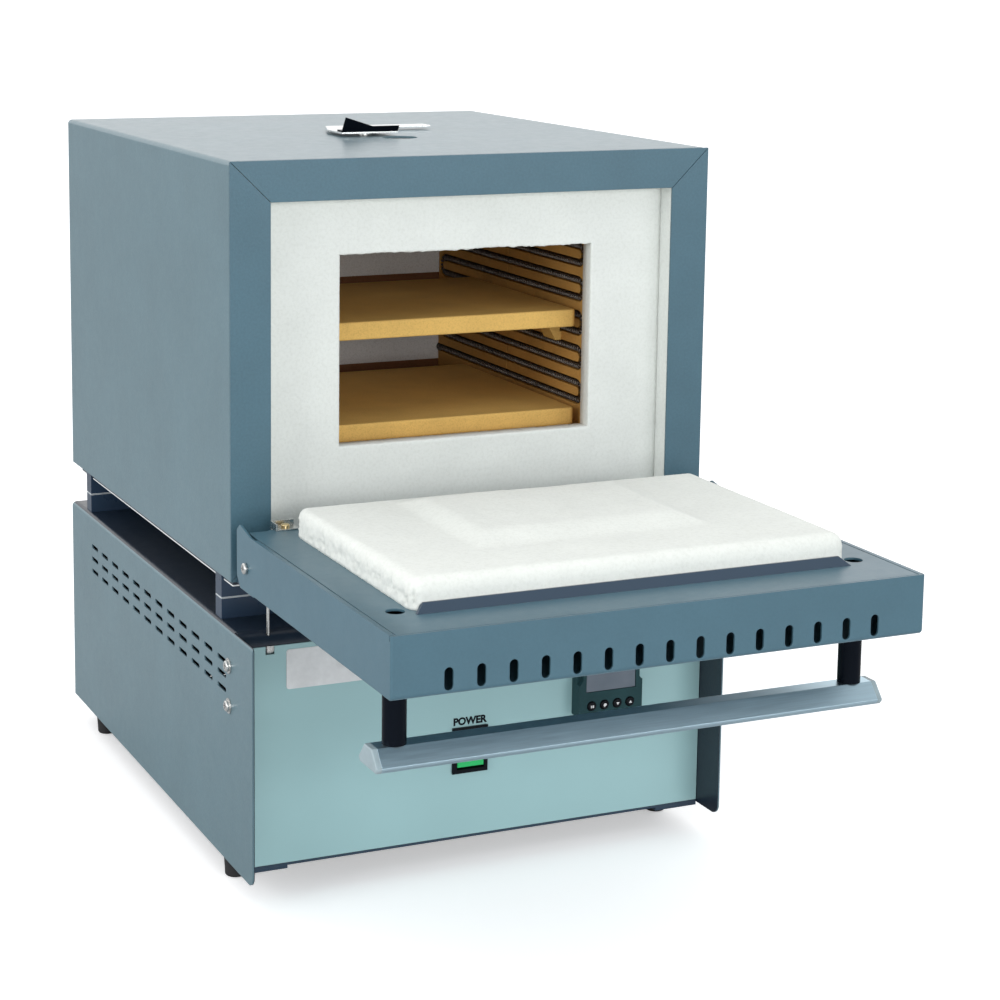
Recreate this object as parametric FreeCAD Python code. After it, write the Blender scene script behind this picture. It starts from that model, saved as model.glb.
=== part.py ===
import FreeCAD, Part
import math
import os

from FreeCAD import Vector

# A benchtop box kiln: an insulated heating chamber on two cross channels over a control base,
# with a drop-down door that is shown open. Millimetres, +Z up, the front faces -Y, X is centred,
# Z = 0 is the surface under the feet, and Y = 0 is the middle of the overall depth.

# ---- driving dimensions --------------------------------------------------------------------------
WIDTH = 340.0                      # casing, base and door share this width
HALF = WIDTH / 2
SHEET = 1.5                        # sheet metal of every casing
GAP = 0.3                          # air between pieces that only lie side by side

FRONT = -65.6                      # Y of the casing's front face
BOTTOM = 207.0                     # Z of the casing's lower edge

CASE_HEIGHT = 267.5
CASE_DEPTH = 378.6
CASE_BEND = 3.0                    # outside radius of the casing's top bends
RAIL_SIDE = 26.9                   # width of the face frame's upright rails
RAIL_TOP = 26.2
RAIL_BOTTOM = 25.5
RAIL_JOINT = 0.25                  # half of the gap at a mitre

BOARD_RECESS = 15.0                # the white front board lies this far behind the face
BOARD_THICK = 11.0
OPENING_HALF = 90.4
OPENING_LOW = 79.2
OPENING_HIGH = 204.3

WALL_X = 98.6                      # inner face of the grooved heating plates
PLATE = 12.0                       # thickness of the chamber's refractory plates
CHAMBER_FLOOR = 75.1
CHAMBER_CEILING = 210.0
CHAMBER_REAR = 282.0
PLATE_SPLIT = 158.5                # each side wall is two plates that meet this far in
PLATE_JOINT = 0.6
INSULATION_REAR = 350.0

COIL_RUNS = 10
COIL_TOP = 198.4                   # height of the first run above the casing's lower edge
COIL_PITCH = 11.95
COIL_RADIUS = 2.5
COIL_INSET = 1.9                   # the coil's centre line lies this far behind the wall face
GROOVE_RADIUS = 3.4
COIL_FRONT = 48.0                  # centres of the front turns, behind the face
COIL_REAR = 271.0

SHELF_HALF = 93.5
SHELF_FRONT = 40.0
SHELF_REAR = 210.0
HEARTH_REAR = 222.0
SHELF_THICK = 12.0
HEARTH_BOTTOM = 75.4
SHELF_BOTTOM = 143.7
LUG_DEPTHS = (72.0, 176.0)
LUG_LENGTH = 18.0

VENT_X = 5.0
VENT_Y = 143.0
VENT_HOLE_RADIUS = 12.5
VENT_BORE_RADIUS = 10.0
VENT_TUBE_RADIUS = 14.0
COVER_PIVOT = (-12.0, 168.0)
COVER_LIFT = 2.0
COVER_THICK = 1.2

THERMOCOUPLE = (-60.0, 182.0)      # X and height above the casing's lower edge

BACK_PANEL = 375.5                 # casing back sheet, behind the face
COVER_REAR = 391.6                 # rear face of the terminal cover

PAN_HALF = 165.5
PAN_FRONT = 10.0
PAN_REAR = 368.0
PAN_DROP = 5.6
PAN_FLANGE = -1.2                  # underside of the pan's flange

CHANNEL_HALF = 167.0
CHANNEL_WIDE = 12.0
CHANNEL_FRONTS = (28.0, 338.0)
CHANNEL_SPLIT = -17.8              # where the upper channel stands on the lower one

BASE_TOP = -31.9                   # heights below the casing's lower edge
BASE_BOTTOM = -189.3
BASE_FRONT = -39.3
BASE_REAR = 382.0
BASE_BEND = 4.0
PANEL_Y = -11.2                    # front face of the base's front panel
PANEL_TOP = -41.2
TOP_ROLL = 9.0                     # radius of the base top's front edge
VENT_COLUMNS = 12
VENT_FIRST = 318.7
VENT_STEP = -27.2
VENT_ROWS = (-55.3, -64.9, -74.5)
VENT_SLOT = (17.0, 3.2)

FOOT_PLATE = 2.2
FOOT_X = 158.0
FOOT_DEPTHS = (28.0, 333.0)
FOOT_TOP_RADIUS = 8.0
FOOT_BOTTOM_RADIUS = 7.0

CONTROL_X = 93.0
CONTROL_Z = -89.6
CONTROL_SIDE = 48.0
CONTROL_PROUD = 11.0
BUTTON_PITCH = 9.7
BUTTON_Z = -105.5
BUTTON_RADIUS = 3.1

ROCKER_X = -7.0
ROCKER_Z = -127.8
ROCKER_BEZEL = (25.6, 31.7)
ROCKER_SIZE = (19.0, 25.0)

DOOR_HALF = 170.3
DOOR_FRONT = -260.4
DOOR_REAR = -21.4
DOOR_LOW = 1.5                     # outer face, which is underneath when the door is open
DOOR_TOP = 37.7                    # inner plate
DOOR_BEND = 3.0
SLOT_COUNT = 15
SLOT_PITCH = 19.46
SLOT_Z = 10.5
SLOT_SIZE = (5.4, 13.0)

PIVOT_Y = -29.5
PIVOT_Z = 16.8
PIN_RADIUS = 2.5
PIN_CLEARANCE = 0.06
BRACKET_X = 154.0
BRACKET_THICK = 3.0

BLOCK_HALF = 142.0
BLOCK_FRONT = -221.2
BLOCK_REAR = -39.0
BLOCK_THICK = 18.0
PLUG_LOW = (81.0, -174.0, -50.0)   # half width, front and rear of the raised centre at its foot
PLUG_HIGH = (64.0, -147.0, -68.0)
PLUG_RISE = 5.0

HANDLE_Y = -217.0
HANDLE_TOP = -37.8
HANDLE_HALF = 162.0
HANDLE_CAP = 3.5
STANDOFF_X = 149.5
STANDOFF_RADIUS = 7.0

ROD_X = -148.0
ROD_Y = -7.5
ROD_TOP = 4.0
ROD_BOTTOM = -48.5
ROD_RADIUS = 1.0

SCREW_HEAD = 3.6
WASHER = (5.0, 0.9)                # radius and thickness under the base's side screws
HEM = 3.0                          # width of the door's folded side edges
TUBE_TOP = 14.0                    # the vent tube stops this far below the casing's top

parts = {}


# ---- small builders: positions are given from the casing's front face and lower edge -------------
def box(x, y, z):
    corner = Vector(x[0], FRONT + y[0], BOTTOM + z[0])
    return Part.makeBox(x[1] - x[0], y[1] - y[0], z[1] - z[0], corner)


def rod(axis, centre, radius, start, end):
    """A cylinder along X, Y or Z; centre holds the two other coordinates."""
    if axis == "x":
        foot = Vector(start, FRONT + centre[0], BOTTOM + centre[1])
        return Part.makeCylinder(radius, end - start, foot, Vector(1, 0, 0))
    if axis == "y":
        foot = Vector(centre[0], FRONT + start, BOTTOM + centre[1])
        return Part.makeCylinder(radius, end - start, foot, Vector(0, 1, 0))
    foot = Vector(centre[0], FRONT + centre[1], BOTTOM + start)
    return Part.makeCylinder(radius, end - start, foot, Vector(0, 0, 1))


def side_prism(points, x):
    """A profile of (y, z) points drawn on the side view, extruded from x[0] to x[1]."""
    corners = [Vector(x[0], FRONT + y, BOTTOM + z) for y, z in points]
    face = Part.Face(Part.makePolygon(corners + corners[:1]))
    return face.extrude(Vector(x[1] - x[0], 0, 0))


def front_prism(points, y):
    """A profile of (x, z) points drawn on the front view, extruded from y[0] to y[1]."""
    corners = [Vector(px, FRONT + y[0], BOTTOM + pz) for px, pz in points]
    face = Part.Face(Part.makePolygon(corners + corners[:1]))
    return face.extrude(Vector(0, y[1] - y[0], 0))


def top_prism(points, z):
    """A profile of (x, y) points drawn on the plan, extruded from z[0] to z[1]."""
    corners = [Vector(px, FRONT + py, BOTTOM + z[0]) for px, py in points]
    face = Part.Face(Part.makePolygon(corners + corners[:1]))
    return face.extrude(Vector(0, 0, z[1] - z[0]))


def mirrored(shape):
    return shape.mirror(Vector(0, 0, 0), Vector(1, 0, 0))


def both_sides(shape):
    return [shape, mirrored(shape)]


def rounded(shape, radius, chosen, along=None):
    """Fillets the edges whose two end points pass the test, or only those that run along one axis."""
    edges = [edge for edge in shape.Edges if all(chosen(vertex.Point) for vertex in edge.Vertexes)]
    if along:
        edges = [edge for edge in edges if near(getattr(edge.BoundBox, along + "Length"), edge.Length)]
    return shape.makeFillet(radius, edges)


def near(value, target):
    return abs(value - target) < 0.01


def slot(axis, centre, length, width, through):
    """A round-ended slot; the long side runs along Z for axis "y" and along Y for axis "x"."""
    reach = (length - width) / 2
    radius = width / 2
    if axis == "y":
        x, z = centre
        middle = box((x - radius, x + radius), through, (z - reach, z + reach))
        ends = [rod("y", (x, z + end), radius, *through) for end in (-reach, reach)]
    else:
        y, z = centre
        middle = box(through, (y - reach, y + reach), (z - radius, z + radius))
        ends = [rod("x", (y + end, z), radius, *through) for end in (-reach, reach)]
    return middle.multiFuse(ends).removeSplitter()


def keep(name, *shapes):
    """Stores one node; it may hold several separate solids."""
    solids = []
    for shape in shapes:
        solids.extend(shape.Solids)
    parts[name] = solids[0] if len(solids) == 1 else Part.makeCompound(solids)


def pan_head(axis, centre, face, outward, shank):
    """A round-headed screw with a cross recess: head outside face, shank going in."""
    head_high = 2.2
    stem_radius = 1.9
    tip = face - outward * shank
    if axis == "x":
        y, z = centre
        foot = Vector(face, FRONT + y, BOTTOM + z)
        direction = Vector(outward, 0, 0)
        across = [Vector(0, 1, 0), Vector(0, 0, 1)]
    else:
        x, z = centre
        foot = Vector(x, FRONT + face, BOTTOM + z)
        direction = Vector(0, outward, 0)
        across = [Vector(1, 0, 0), Vector(0, 0, 1)]
    head = Part.makeCylinder(SCREW_HEAD, head_high, foot, direction)
    crown = [edge for edge in head.Edges if near((edge.CenterOfMass - foot).Length, head_high)]
    head = head.makeFillet(1.2, crown)
    screw = head.fuse(Part.makeCylinder(stem_radius, abs(face - tip), foot, direction * -1))
    for line in across:
        other = across[0] if line is across[1] else across[1]
        recess = foot + direction * (head_high - 1.1) - line * 2.0 - other * 0.4
        corners = [recess, recess + line * 4.0, recess + line * 4.0 + other * 0.8, recess + other * 0.8]
        cross = Part.Face(Part.makePolygon(corners + corners[:1])).extrude(direction * 2.0)
        screw = screw.cut(cross)
    return screw


# ---- casing --------------------------------------------------------------------------------------
def casing():
    outer = box((-HALF, HALF), (SHEET + GAP, CASE_DEPTH), (0, CASE_HEIGHT))
    top = BOTTOM + CASE_HEIGHT
    outer = rounded(outer, CASE_BEND, lambda p: near(abs(p.x), HALF) and near(p.z, top))
    inside = HALF - SHEET
    inner = box((-inside, inside), (0, CASE_DEPTH + 1), (-1, CASE_HEIGHT - SHEET))
    inner = rounded(inner, CASE_BEND - SHEET, lambda p: near(abs(p.x), inside) and near(p.z, top - SHEET))
    hole = rod("z", (VENT_X, VENT_Y), VENT_HOLE_RADIUS, CASE_HEIGHT - 2 * SHEET, CASE_HEIGHT + 1)
    pivot = rod("z", COVER_PIVOT, 2.1, CASE_HEIGHT - 2 * SHEET, CASE_HEIGHT + 1)
    shell = outer.cut(inner).cut(hole).cut(pivot)
    keep("casing_wrap", with_return_flanges(shell, BACK_PANEL, (8.0, CASE_HEIGHT - 12.0), REAR_SCREW_HEIGHTS))


def with_return_flanges(shell, rear, heights, screw_heights):
    """Adds an inward flange along each side's rear edge, with clearance holes for the back screws."""
    inside = HALF - SHEET
    for side in (-1, 1):
        x = sorted((side * inside, side * (inside - FLANGE)))
        shell = shell.fuse(box(x, (rear - SHEET, rear), heights))
        for z in screw_heights:
            shell = shell.cut(rod("y", (side * SCREW_X, z), 2.1, rear - SHEET - 1, rear + 1))
    return shell.removeSplitter()


def face_frame():
    left, right = -HALF, HALF
    low, high = 0.0, CASE_HEIGHT
    inner_left, inner_right = left + RAIL_SIDE, right - RAIL_SIDE
    inner_low, inner_high = RAIL_BOTTOM, CASE_HEIGHT - RAIL_TOP
    joint = RAIL_JOINT
    depth = (0.0, SHEET)
    top = [(left + joint, high), (right - joint, high), (inner_right - joint, inner_high), (inner_left + joint, inner_high)]
    bottom = [(left + joint, low), (right - joint, low), (inner_right - joint, inner_low), (inner_left + joint, inner_low)]
    upright = [(left, low + joint), (inner_left, inner_low + joint), (inner_left, inner_high - joint), (left, high - joint)]
    level_rails = [front_prism(top, depth), front_prism(bottom, depth)]
    keep("face_frame", *level_rails, *both_sides(front_prism(upright, depth)))


REAR_SCREW_HEIGHTS = (30.0, 134.0, 238.0)
SCREW_X = 160.0
FLANGE = 16.0
TERMINAL_HEIGHTS = (COIL_TOP, COIL_TOP - COIL_PITCH * (COIL_RUNS - 1))
COIL_X = WALL_X + COIL_INSET


def casing_back():
    inside = HALF - SHEET - GAP
    panel = box((-inside, inside), (BACK_PANEL, BACK_PANEL + SHEET), (0.6, CASE_HEIGHT - CASE_BEND))
    for side in (-1, 1):
        for z in TERMINAL_HEIGHTS:
            panel = panel.cut(rod("y", (side * COIL_X, z), 6.0, BACK_PANEL - 1, BACK_PANEL + 3))
        for z in REAR_SCREW_HEIGHTS:
            panel = panel.cut(rod("y", (side * SCREW_X, z), 2.1, BACK_PANEL - 1, BACK_PANEL + 3))
    panel = panel.cut(rod("y", THERMOCOUPLE, 6.0, BACK_PANEL - 1, BACK_PANEL + 3))
    keep("casing_back", panel.removeSplitter())

    cover_half, cover_low, cover_high = 125.0, 66.0, 224.0
    outer = box((-cover_half, cover_half), (BACK_PANEL + SHEET, COVER_REAR), (cover_low, cover_high))
    rear_y = FRONT + COVER_REAR
    outer = rounded(outer, 2.5, lambda p: near(p.y, rear_y))
    wall = 1.2
    inner = box(
        (-cover_half + wall, cover_half - wall),
        (BACK_PANEL, COVER_REAR - wall),
        (cover_low + wall, cover_high - wall),
    )
    cover = outer.cut(inner)
    for column in range(-6, 7):
        for z in (cover_low + 22, cover_high - 22):
            cover = cover.cut(slot("y", (column * 15.0, z), 22.0, 4.0, (COVER_REAR - 3, COVER_REAR + 1)))
    keep("terminal_cover", cover)


def casing_pan():
    floor_low = -PAN_DROP
    tray = box((-PAN_HALF, PAN_HALF), (PAN_FRONT, PAN_REAR), (floor_low, 0.0))
    flange = box((-HALF + SHEET + GAP, HALF - SHEET - GAP), (SHEET + GAP, PAN_REAR + 5), (PAN_FLANGE, 0.2))
    hollow = box(
        (-PAN_HALF + SHEET, PAN_HALF - SHEET),
        (PAN_FRONT + SHEET, PAN_REAR - SHEET),
        (floor_low + SHEET, 1.0),
    )
    pan = tray.fuse(flange).cut(hollow)
    pan = pan.cut(rod("z", CONDUIT, 7.5, floor_low - 1, floor_low + 3))
    for front in CHANNEL_FRONTS:
        span = (front - GAP, front + CHANNEL_WIDE + GAP)
        pan = pan.cut(box((-HALF, HALF), span, (floor_low - 1, PAN_FLANGE)))
    keep("casing_pan", pan.removeSplitter())


# ---- insulation and chamber ----------------------------------------------------------------------
def insulation():
    outer_x = HALF - SHEET - GAP
    board_x = HALF - RAIL_SIDE
    board_low, board_high = RAIL_BOTTOM + GAP, CASE_HEIGHT - RAIL_TOP - GAP
    inner_x = WALL_X + PLATE + GAP
    board_rear = BOARD_RECESS + BOARD_THICK
    core_front = board_rear + GAP
    core_rear = CHAMBER_REAR + PLATE
    skin_front = SHEET + GAP

    left_x = (-outer_x, -board_x)
    left = box(left_x, (skin_front, INSULATION_REAR), (board_low, board_high))
    left = left.fuse(box((-board_x, -inner_x), (core_front, core_rear), (board_low, board_high)))
    left = left.removeSplitter()
    keep("insulation_sides", *both_sides(left))

    ceiling_top = CHAMBER_CEILING + PLATE + GAP
    roof_x = outer_x - CASE_BEND / 2
    roof = box((-roof_x, roof_x), (skin_front, INSULATION_REAR), (board_high + GAP, CASE_HEIGHT - SHEET - GAP))
    roof = roof.fuse(box((-inner_x + GAP, inner_x - GAP), (core_front, core_rear), (ceiling_top, board_high + GAP)))
    roof = roof.removeSplitter().cut(rod("z", (VENT_X, VENT_Y), VENT_TUBE_RADIUS + GAP, 200, CASE_HEIGHT))
    roof = roof.cut(rod("z", COVER_PIVOT, 3.0, CASE_HEIGHT - 12, CASE_HEIGHT))
    keep("insulation_top", roof)

    floor_under = CHAMBER_FLOOR - PLATE - GAP
    base = box((-outer_x, outer_x), (skin_front, INSULATION_REAR), (0.5, RAIL_BOTTOM))
    base = base.fuse(box((-inner_x + GAP, inner_x - GAP), (core_front, core_rear), (RAIL_BOTTOM, floor_under)))
    keep("insulation_bottom", base.removeSplitter())

    rear = box((-board_x + GAP, board_x - GAP), (core_rear + GAP, INSULATION_REAR), (board_low, board_high))
    for side in (-1, 1):
        for z in TERMINAL_HEIGHTS:
            rear = rear.cut(rod("y", (side * COIL_X, z), GROOVE_RADIUS, core_rear, INSULATION_REAR + 1))
    rear = rear.cut(rod("y", THERMOCOUPLE, 3.3, core_rear, INSULATION_REAR + 1))
    keep("insulation_back", rear)

    board = box((-board_x + GAP, board_x - GAP), (BOARD_RECESS, board_rear), (board_low, board_high))
    window = box((-OPENING_HALF, OPENING_HALF), (BOARD_RECESS - 1, board_rear + 1), (OPENING_LOW, OPENING_HIGH))
    keep("front_board", board.cut(window))


def coil_line(x):
    """The centre line of one side's heating coil: runs along Y joined by half turns."""
    radius = COIL_PITCH / 2
    edges = []
    for run in range(COIL_RUNS):
        z = BOTTOM + COIL_TOP - run * COIL_PITCH
        tail = INSULATION_REAR if run in (0, COIL_RUNS - 1) else COIL_REAR
        front = Vector(x, FRONT + COIL_FRONT, z)
        rear = Vector(x, FRONT + tail, z)
        forward = run % 2 == 0
        edges.append(Part.makeLine(rear, front) if forward else Part.makeLine(front, rear))
        if run < COIL_RUNS - 1:
            turn_y = FRONT + (COIL_FRONT if forward else COIL_REAR)
            bulge = -radius if forward else radius
            start = Vector(x, turn_y, z)
            middle = Vector(x, turn_y + bulge, z - radius)
            end = Vector(x, turn_y, z - COIL_PITCH)
            edges.append(Part.Arc(start, middle, end).toShape())
    return Part.Wire(edges)


def pipe_along(line, radius):
    start = line.Edges[0].valueAt(line.Edges[0].FirstParameter)
    ring = Part.Wire(Part.makeCircle(radius, start, Vector(0, 1, 0)))
    return line.makePipeShell([ring], True, False)


def heating_walls():
    line = coil_line(COIL_X)
    coil = pipe_along(line, COIL_RADIUS)
    groove = pipe_along(line, GROOVE_RADIUS)
    low, high = CHAMBER_FLOOR - PLATE, CHAMBER_CEILING + PLATE
    spans = (
        (BOARD_RECESS + BOARD_THICK + GAP, PLATE_SPLIT - PLATE_JOINT / 2),
        (PLATE_SPLIT + PLATE_JOINT / 2, CHAMBER_REAR - GAP),
    )
    plates = [box((WALL_X, WALL_X + PLATE), span, (low, high)).cut(groove) for span in spans]
    keep("element_plates", *plates, *[mirrored(plate) for plate in plates])
    keep("heating_coils", *both_sides(coil))


def chamber_plates():
    inside = WALL_X - GAP
    front = BOARD_RECESS + BOARD_THICK + GAP
    ceiling = box((-inside, inside), (front, CHAMBER_REAR - GAP), (CHAMBER_CEILING, CHAMBER_CEILING + PLATE))
    ceiling = ceiling.cut(rod("z", (VENT_X, VENT_Y), VENT_TUBE_RADIUS + GAP, 200, 230))
    floor = box((-inside, inside), (front, CHAMBER_REAR - GAP), (CHAMBER_FLOOR - PLATE, CHAMBER_FLOOR))
    rear_half = WALL_X + PLATE
    rear = box(
        (-rear_half, rear_half),
        (CHAMBER_REAR, CHAMBER_REAR + PLATE - GAP),
        (CHAMBER_FLOOR - PLATE, CHAMBER_CEILING + PLATE),
    )
    for side in (-1, 1):
        for z in TERMINAL_HEIGHTS:
            rear = rear.cut(rod("y", (side * COIL_X, z), GROOVE_RADIUS, CHAMBER_REAR - 1, CHAMBER_REAR + PLATE))
    rear = rear.cut(rod("y", THERMOCOUPLE, 3.3, CHAMBER_REAR - 1, CHAMBER_REAR + PLATE))
    keep("chamber_plates", ceiling, floor, rear)


def ware_plate(bottom, rear):
    plate = box((-SHELF_HALF, SHELF_HALF), (SHELF_FRONT, rear), (bottom, bottom + SHELF_THICK))
    plate = rounded(plate, 4.0, lambda p: near(abs(p.x), SHELF_HALF), "Z")
    rims = [edge for edge in plate.Edges if edge.BoundBox.ZLength < 1.0]
    return plate.makeFillet(1.2, rims)


def ware_plates():
    keep("hearth_plate", ware_plate(HEARTH_BOTTOM, HEARTH_REAR))
    keep("upper_shelf", ware_plate(SHELF_BOTTOM, SHELF_REAR))
    land = COIL_TOP - COIL_PITCH * 5.5
    top = SHELF_BOTTOM - GAP
    reach = 10.0
    profile = [
        (WALL_X, land - 3.5),
        (WALL_X, land + 2.5),
        (WALL_X - 1.2, land + 2.5),
        (WALL_X - 1.2, top),
        (WALL_X - reach, top),
        (WALL_X - reach, top - 4.0),
        (WALL_X - 4.5, land - 3.5),
    ]
    lugs = []
    for depth in LUG_DEPTHS:
        lugs.extend(both_sides(front_prism(profile, (depth, depth + LUG_LENGTH))))
    keep("shelf_lugs", *lugs)


def chamber_fittings():
    tube = rod("z", (VENT_X, VENT_Y), VENT_TUBE_RADIUS, CHAMBER_CEILING, CASE_HEIGHT - TUBE_TOP)
    bore = rod("z", (VENT_X, VENT_Y), VENT_BORE_RADIUS, CHAMBER_CEILING - 1, CASE_HEIGHT)
    keep("vent_tube", tube.cut(bore))

    probe = rod("y", THERMOCOUPLE, 3.0, CHAMBER_REAR - 18, BACK_PANEL + 6)
    tip_y = FRONT + CHAMBER_REAR - 18
    tip = [edge for edge in probe.Edges if near(edge.CenterOfMass.y, tip_y)]
    probe = probe.makeFillet(2.5, tip)
    x, z = THERMOCOUPLE
    head = rod("y", THERMOCOUPLE, 5.8, BACK_PANEL - 4, BACK_PANEL + SHEET)
    head = head.fuse(box((x - 9, x + 9), (BACK_PANEL + SHEET, BACK_PANEL + 9), (z - 7, z + 7)))
    head = head.cut(rod("y", THERMOCOUPLE, 3.1, BACK_PANEL - 5, BACK_PANEL + 10))
    keep("thermocouple", probe, head)

    bushes, studs = [], []
    for side in (-1, 1):
        for height in TERMINAL_HEIGHTS:
            centre = (side * COIL_X, height)
            bush = rod("y", centre, 5.8, INSULATION_REAR + 4, BACK_PANEL + 4)
            bush = bush.fuse(rod("y", centre, 8.0, BACK_PANEL + SHEET, BACK_PANEL + 4))
            bushes.append(bush.cut(rod("y", centre, 2.6, INSULATION_REAR, BACK_PANEL + 10)))
            stud = rod("y", centre, 2.5, INSULATION_REAR + GAP, BACK_PANEL + 11)
            studs.append(stud.fuse(rod("y", centre, 4.5, BACK_PANEL + 4, BACK_PANEL + 7)).removeSplitter())
    keep("terminal_bushes", *bushes)
    keep("terminal_studs", *studs)


# ---- vent cover ----------------------------------------------------------------------------------
def vent_cover():
    low = CASE_HEIGHT + COVER_LIFT
    outline = [(-33, 157), (9.5, 157), (9.5, 203), (55, 203), (55, 217), (-22, 217), (-33, 185)]
    plate = top_prism(outline, (low, low + COVER_THICK))
    plate = plate.cut(rod("z", COVER_PIVOT, 2.05, low - 1, low + 3))
    keep("vent_cover", plate)

    edge_y, foot = 157.0, low + COVER_THICK
    lean = 8.0
    tall, short = 11.0, 4.2
    thick = 1.4

    def tab_section(x, height):
        front = edge_y - lean * height / tall
        points = [(edge_y, foot), (front, foot + height), (front + thick, foot + height), (edge_y + thick, foot)]
        corners = [Vector(x, FRONT + y, BOTTOM + z) for y, z in points]
        return Part.makePolygon(corners + corners[:1])

    stations = ((-33.0, tall), (-11.0, short), (9.5, short))
    flange = None
    for (x0, h0), (x1, h1) in zip(stations, stations[1:]):
        piece = Part.makeLoft([tab_section(x0, h0), tab_section(x1, h1)], True, True)
        flange = piece if flange is None else flange.fuse(piece)
    foot_strip = box((-33, 9.5), (edge_y, edge_y + 9), (foot, foot + thick))
    flange = flange.fuse(foot_strip).cut(rod("z", COVER_PIVOT, 6.0, foot - 1, foot + 12))
    keep("vent_cover_tab", flange.removeSplitter())

    post = rod("z", COVER_PIVOT, 4.0, CASE_HEIGHT, low - GAP)
    pin = rod("z", COVER_PIVOT, 2.0, CASE_HEIGHT - 8, low + COVER_THICK + 0.6)
    cap = rod("z", COVER_PIVOT, 4.6, low + COVER_THICK + GAP, low + COVER_THICK + 2.4)
    cap_top = BOTTOM + low + COVER_THICK + 2.4
    cap = rounded_disc(cap, cap_top, 1.2)
    keep("vent_pivot_screw", post.fuse(pin).fuse(cap).removeSplitter())


def rounded_disc(disc, top, radius):
    rim = [edge for edge in disc.Edges if near(edge.CenterOfMass.z, top)]
    return disc.makeFillet(radius, rim)


# ---- cross channels and the lead conduit ---------------------------------------------------------
CONDUIT = (-60.0, 300.0)


def channels():
    for level, low, high in (("upper", CHANNEL_SPLIT, PAN_FLANGE - GAP), ("lower", BASE_TOP, CHANNEL_SPLIT - GAP)):
        pair = []
        for front in CHANNEL_FRONTS:
            body = box((-CHANNEL_HALF, CHANNEL_HALF), (front, front + CHANNEL_WIDE), (low, high))
            hollow = box(
                (-CHANNEL_HALF + SHEET, CHANNEL_HALF - SHEET),
                (front + SHEET, front + CHANNEL_WIDE - SHEET),
                (low - 1, high - SHEET),
            )
            pair.append(body.cut(hollow))
        keep(level + "_channels", *pair)
    tube = rod("z", CONDUIT, 9.0, BASE_TOP, -PAN_DROP)
    keep("lead_conduit", tube.cut(rod("z", CONDUIT, 7.5, BASE_TOP - 1, 0)))


# ---- base ----------------------------------------------------------------------------------------
SIDE_SCREWS = ((5.0, -56.1), (5.0, -82.7))
BUSH_RADIUS = 4.6
BUSH_HEIGHTS = (BASE_TOP - 14.3, BASE_TOP - 8.9)
BASE_REAR_SCREWS = (-56.0, -110.0, -165.0)


def base_wrap():
    outer = box((-HALF, HALF), (BASE_FRONT, BASE_REAR), (BASE_BOTTOM, BASE_TOP))
    top = BOTTOM + BASE_TOP
    outer = rounded(outer, BASE_BEND, lambda p: near(abs(p.x), HALF) and near(p.z, top))
    corner_y, corner_z = FRONT + BASE_FRONT, BOTTOM + BASE_BOTTOM
    outer = rounded(outer, 7.0, lambda p: near(p.y, corner_y) and near(p.z, corner_z))
    inside = HALF - SHEET
    inner = box((-inside, inside), (BASE_FRONT - 1, BASE_REAR + 1), (BASE_BOTTOM - 1, BASE_TOP - SHEET))
    bend = BASE_BEND - SHEET
    inner = rounded(inner, bend, lambda p: near(abs(p.x), inside) and near(p.z, top - SHEET))
    wrap = outer.cut(inner)
    roll_y = PANEL_Y + TOP_ROLL
    wrap = wrap.cut(box((-inside, inside), (BASE_FRONT - 1, roll_y), (BASE_TOP - 6, BASE_TOP + 1)))
    roll_z = BASE_TOP - TOP_ROLL
    half = HALF - 2.2
    quarter = rod("x", (roll_y, roll_z), TOP_ROLL, -half, half)
    quarter = quarter.cut(rod("x", (roll_y, roll_z), TOP_ROLL - SHEET, -half - 1, half + 1))
    quarter = quarter.common(box((-half, half), (PANEL_Y - 1, roll_y), (roll_z, BASE_TOP)))
    wrap = wrap.fuse(quarter).removeSplitter()
    wrap = wrap.cut(rod("z", (ROD_X, ROD_Y), BUSH_RADIUS + 0.1, BASE_TOP - 16, BUSH_HEIGHTS[1] + 0.1))
    wrap = wrap.cut(rod("z", (ROD_X, ROD_Y), ROD_RADIUS + 0.4, BASE_TOP - 16, BASE_TOP + 1))
    wrap = wrap.cut(rod("z", CONDUIT, 7.5, BASE_TOP - 3, BASE_TOP + 1))
    cutters = []
    for column in range(VENT_COLUMNS):
        for z in VENT_ROWS:
            y = VENT_FIRST + column * VENT_STEP
            for side in (-1, 1):
                span = sorted((side * (inside - 1), side * (HALF + 1)))
                cutters.append(slot("x", (y, z), *VENT_SLOT, span))
    for y, z in SIDE_SCREWS:
        cutters.append(rod("x", (y, z), 2.1, -HALF - 1, HALF + 1))
    wrap = wrap.cut(Part.makeCompound(cutters))
    heights = (BASE_BOTTOM + 8.0, BASE_TOP - 12.0)
    keep("base_wrap", with_return_flanges(wrap, BASE_REAR - 3.5, heights, BASE_REAR_SCREWS))


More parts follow.
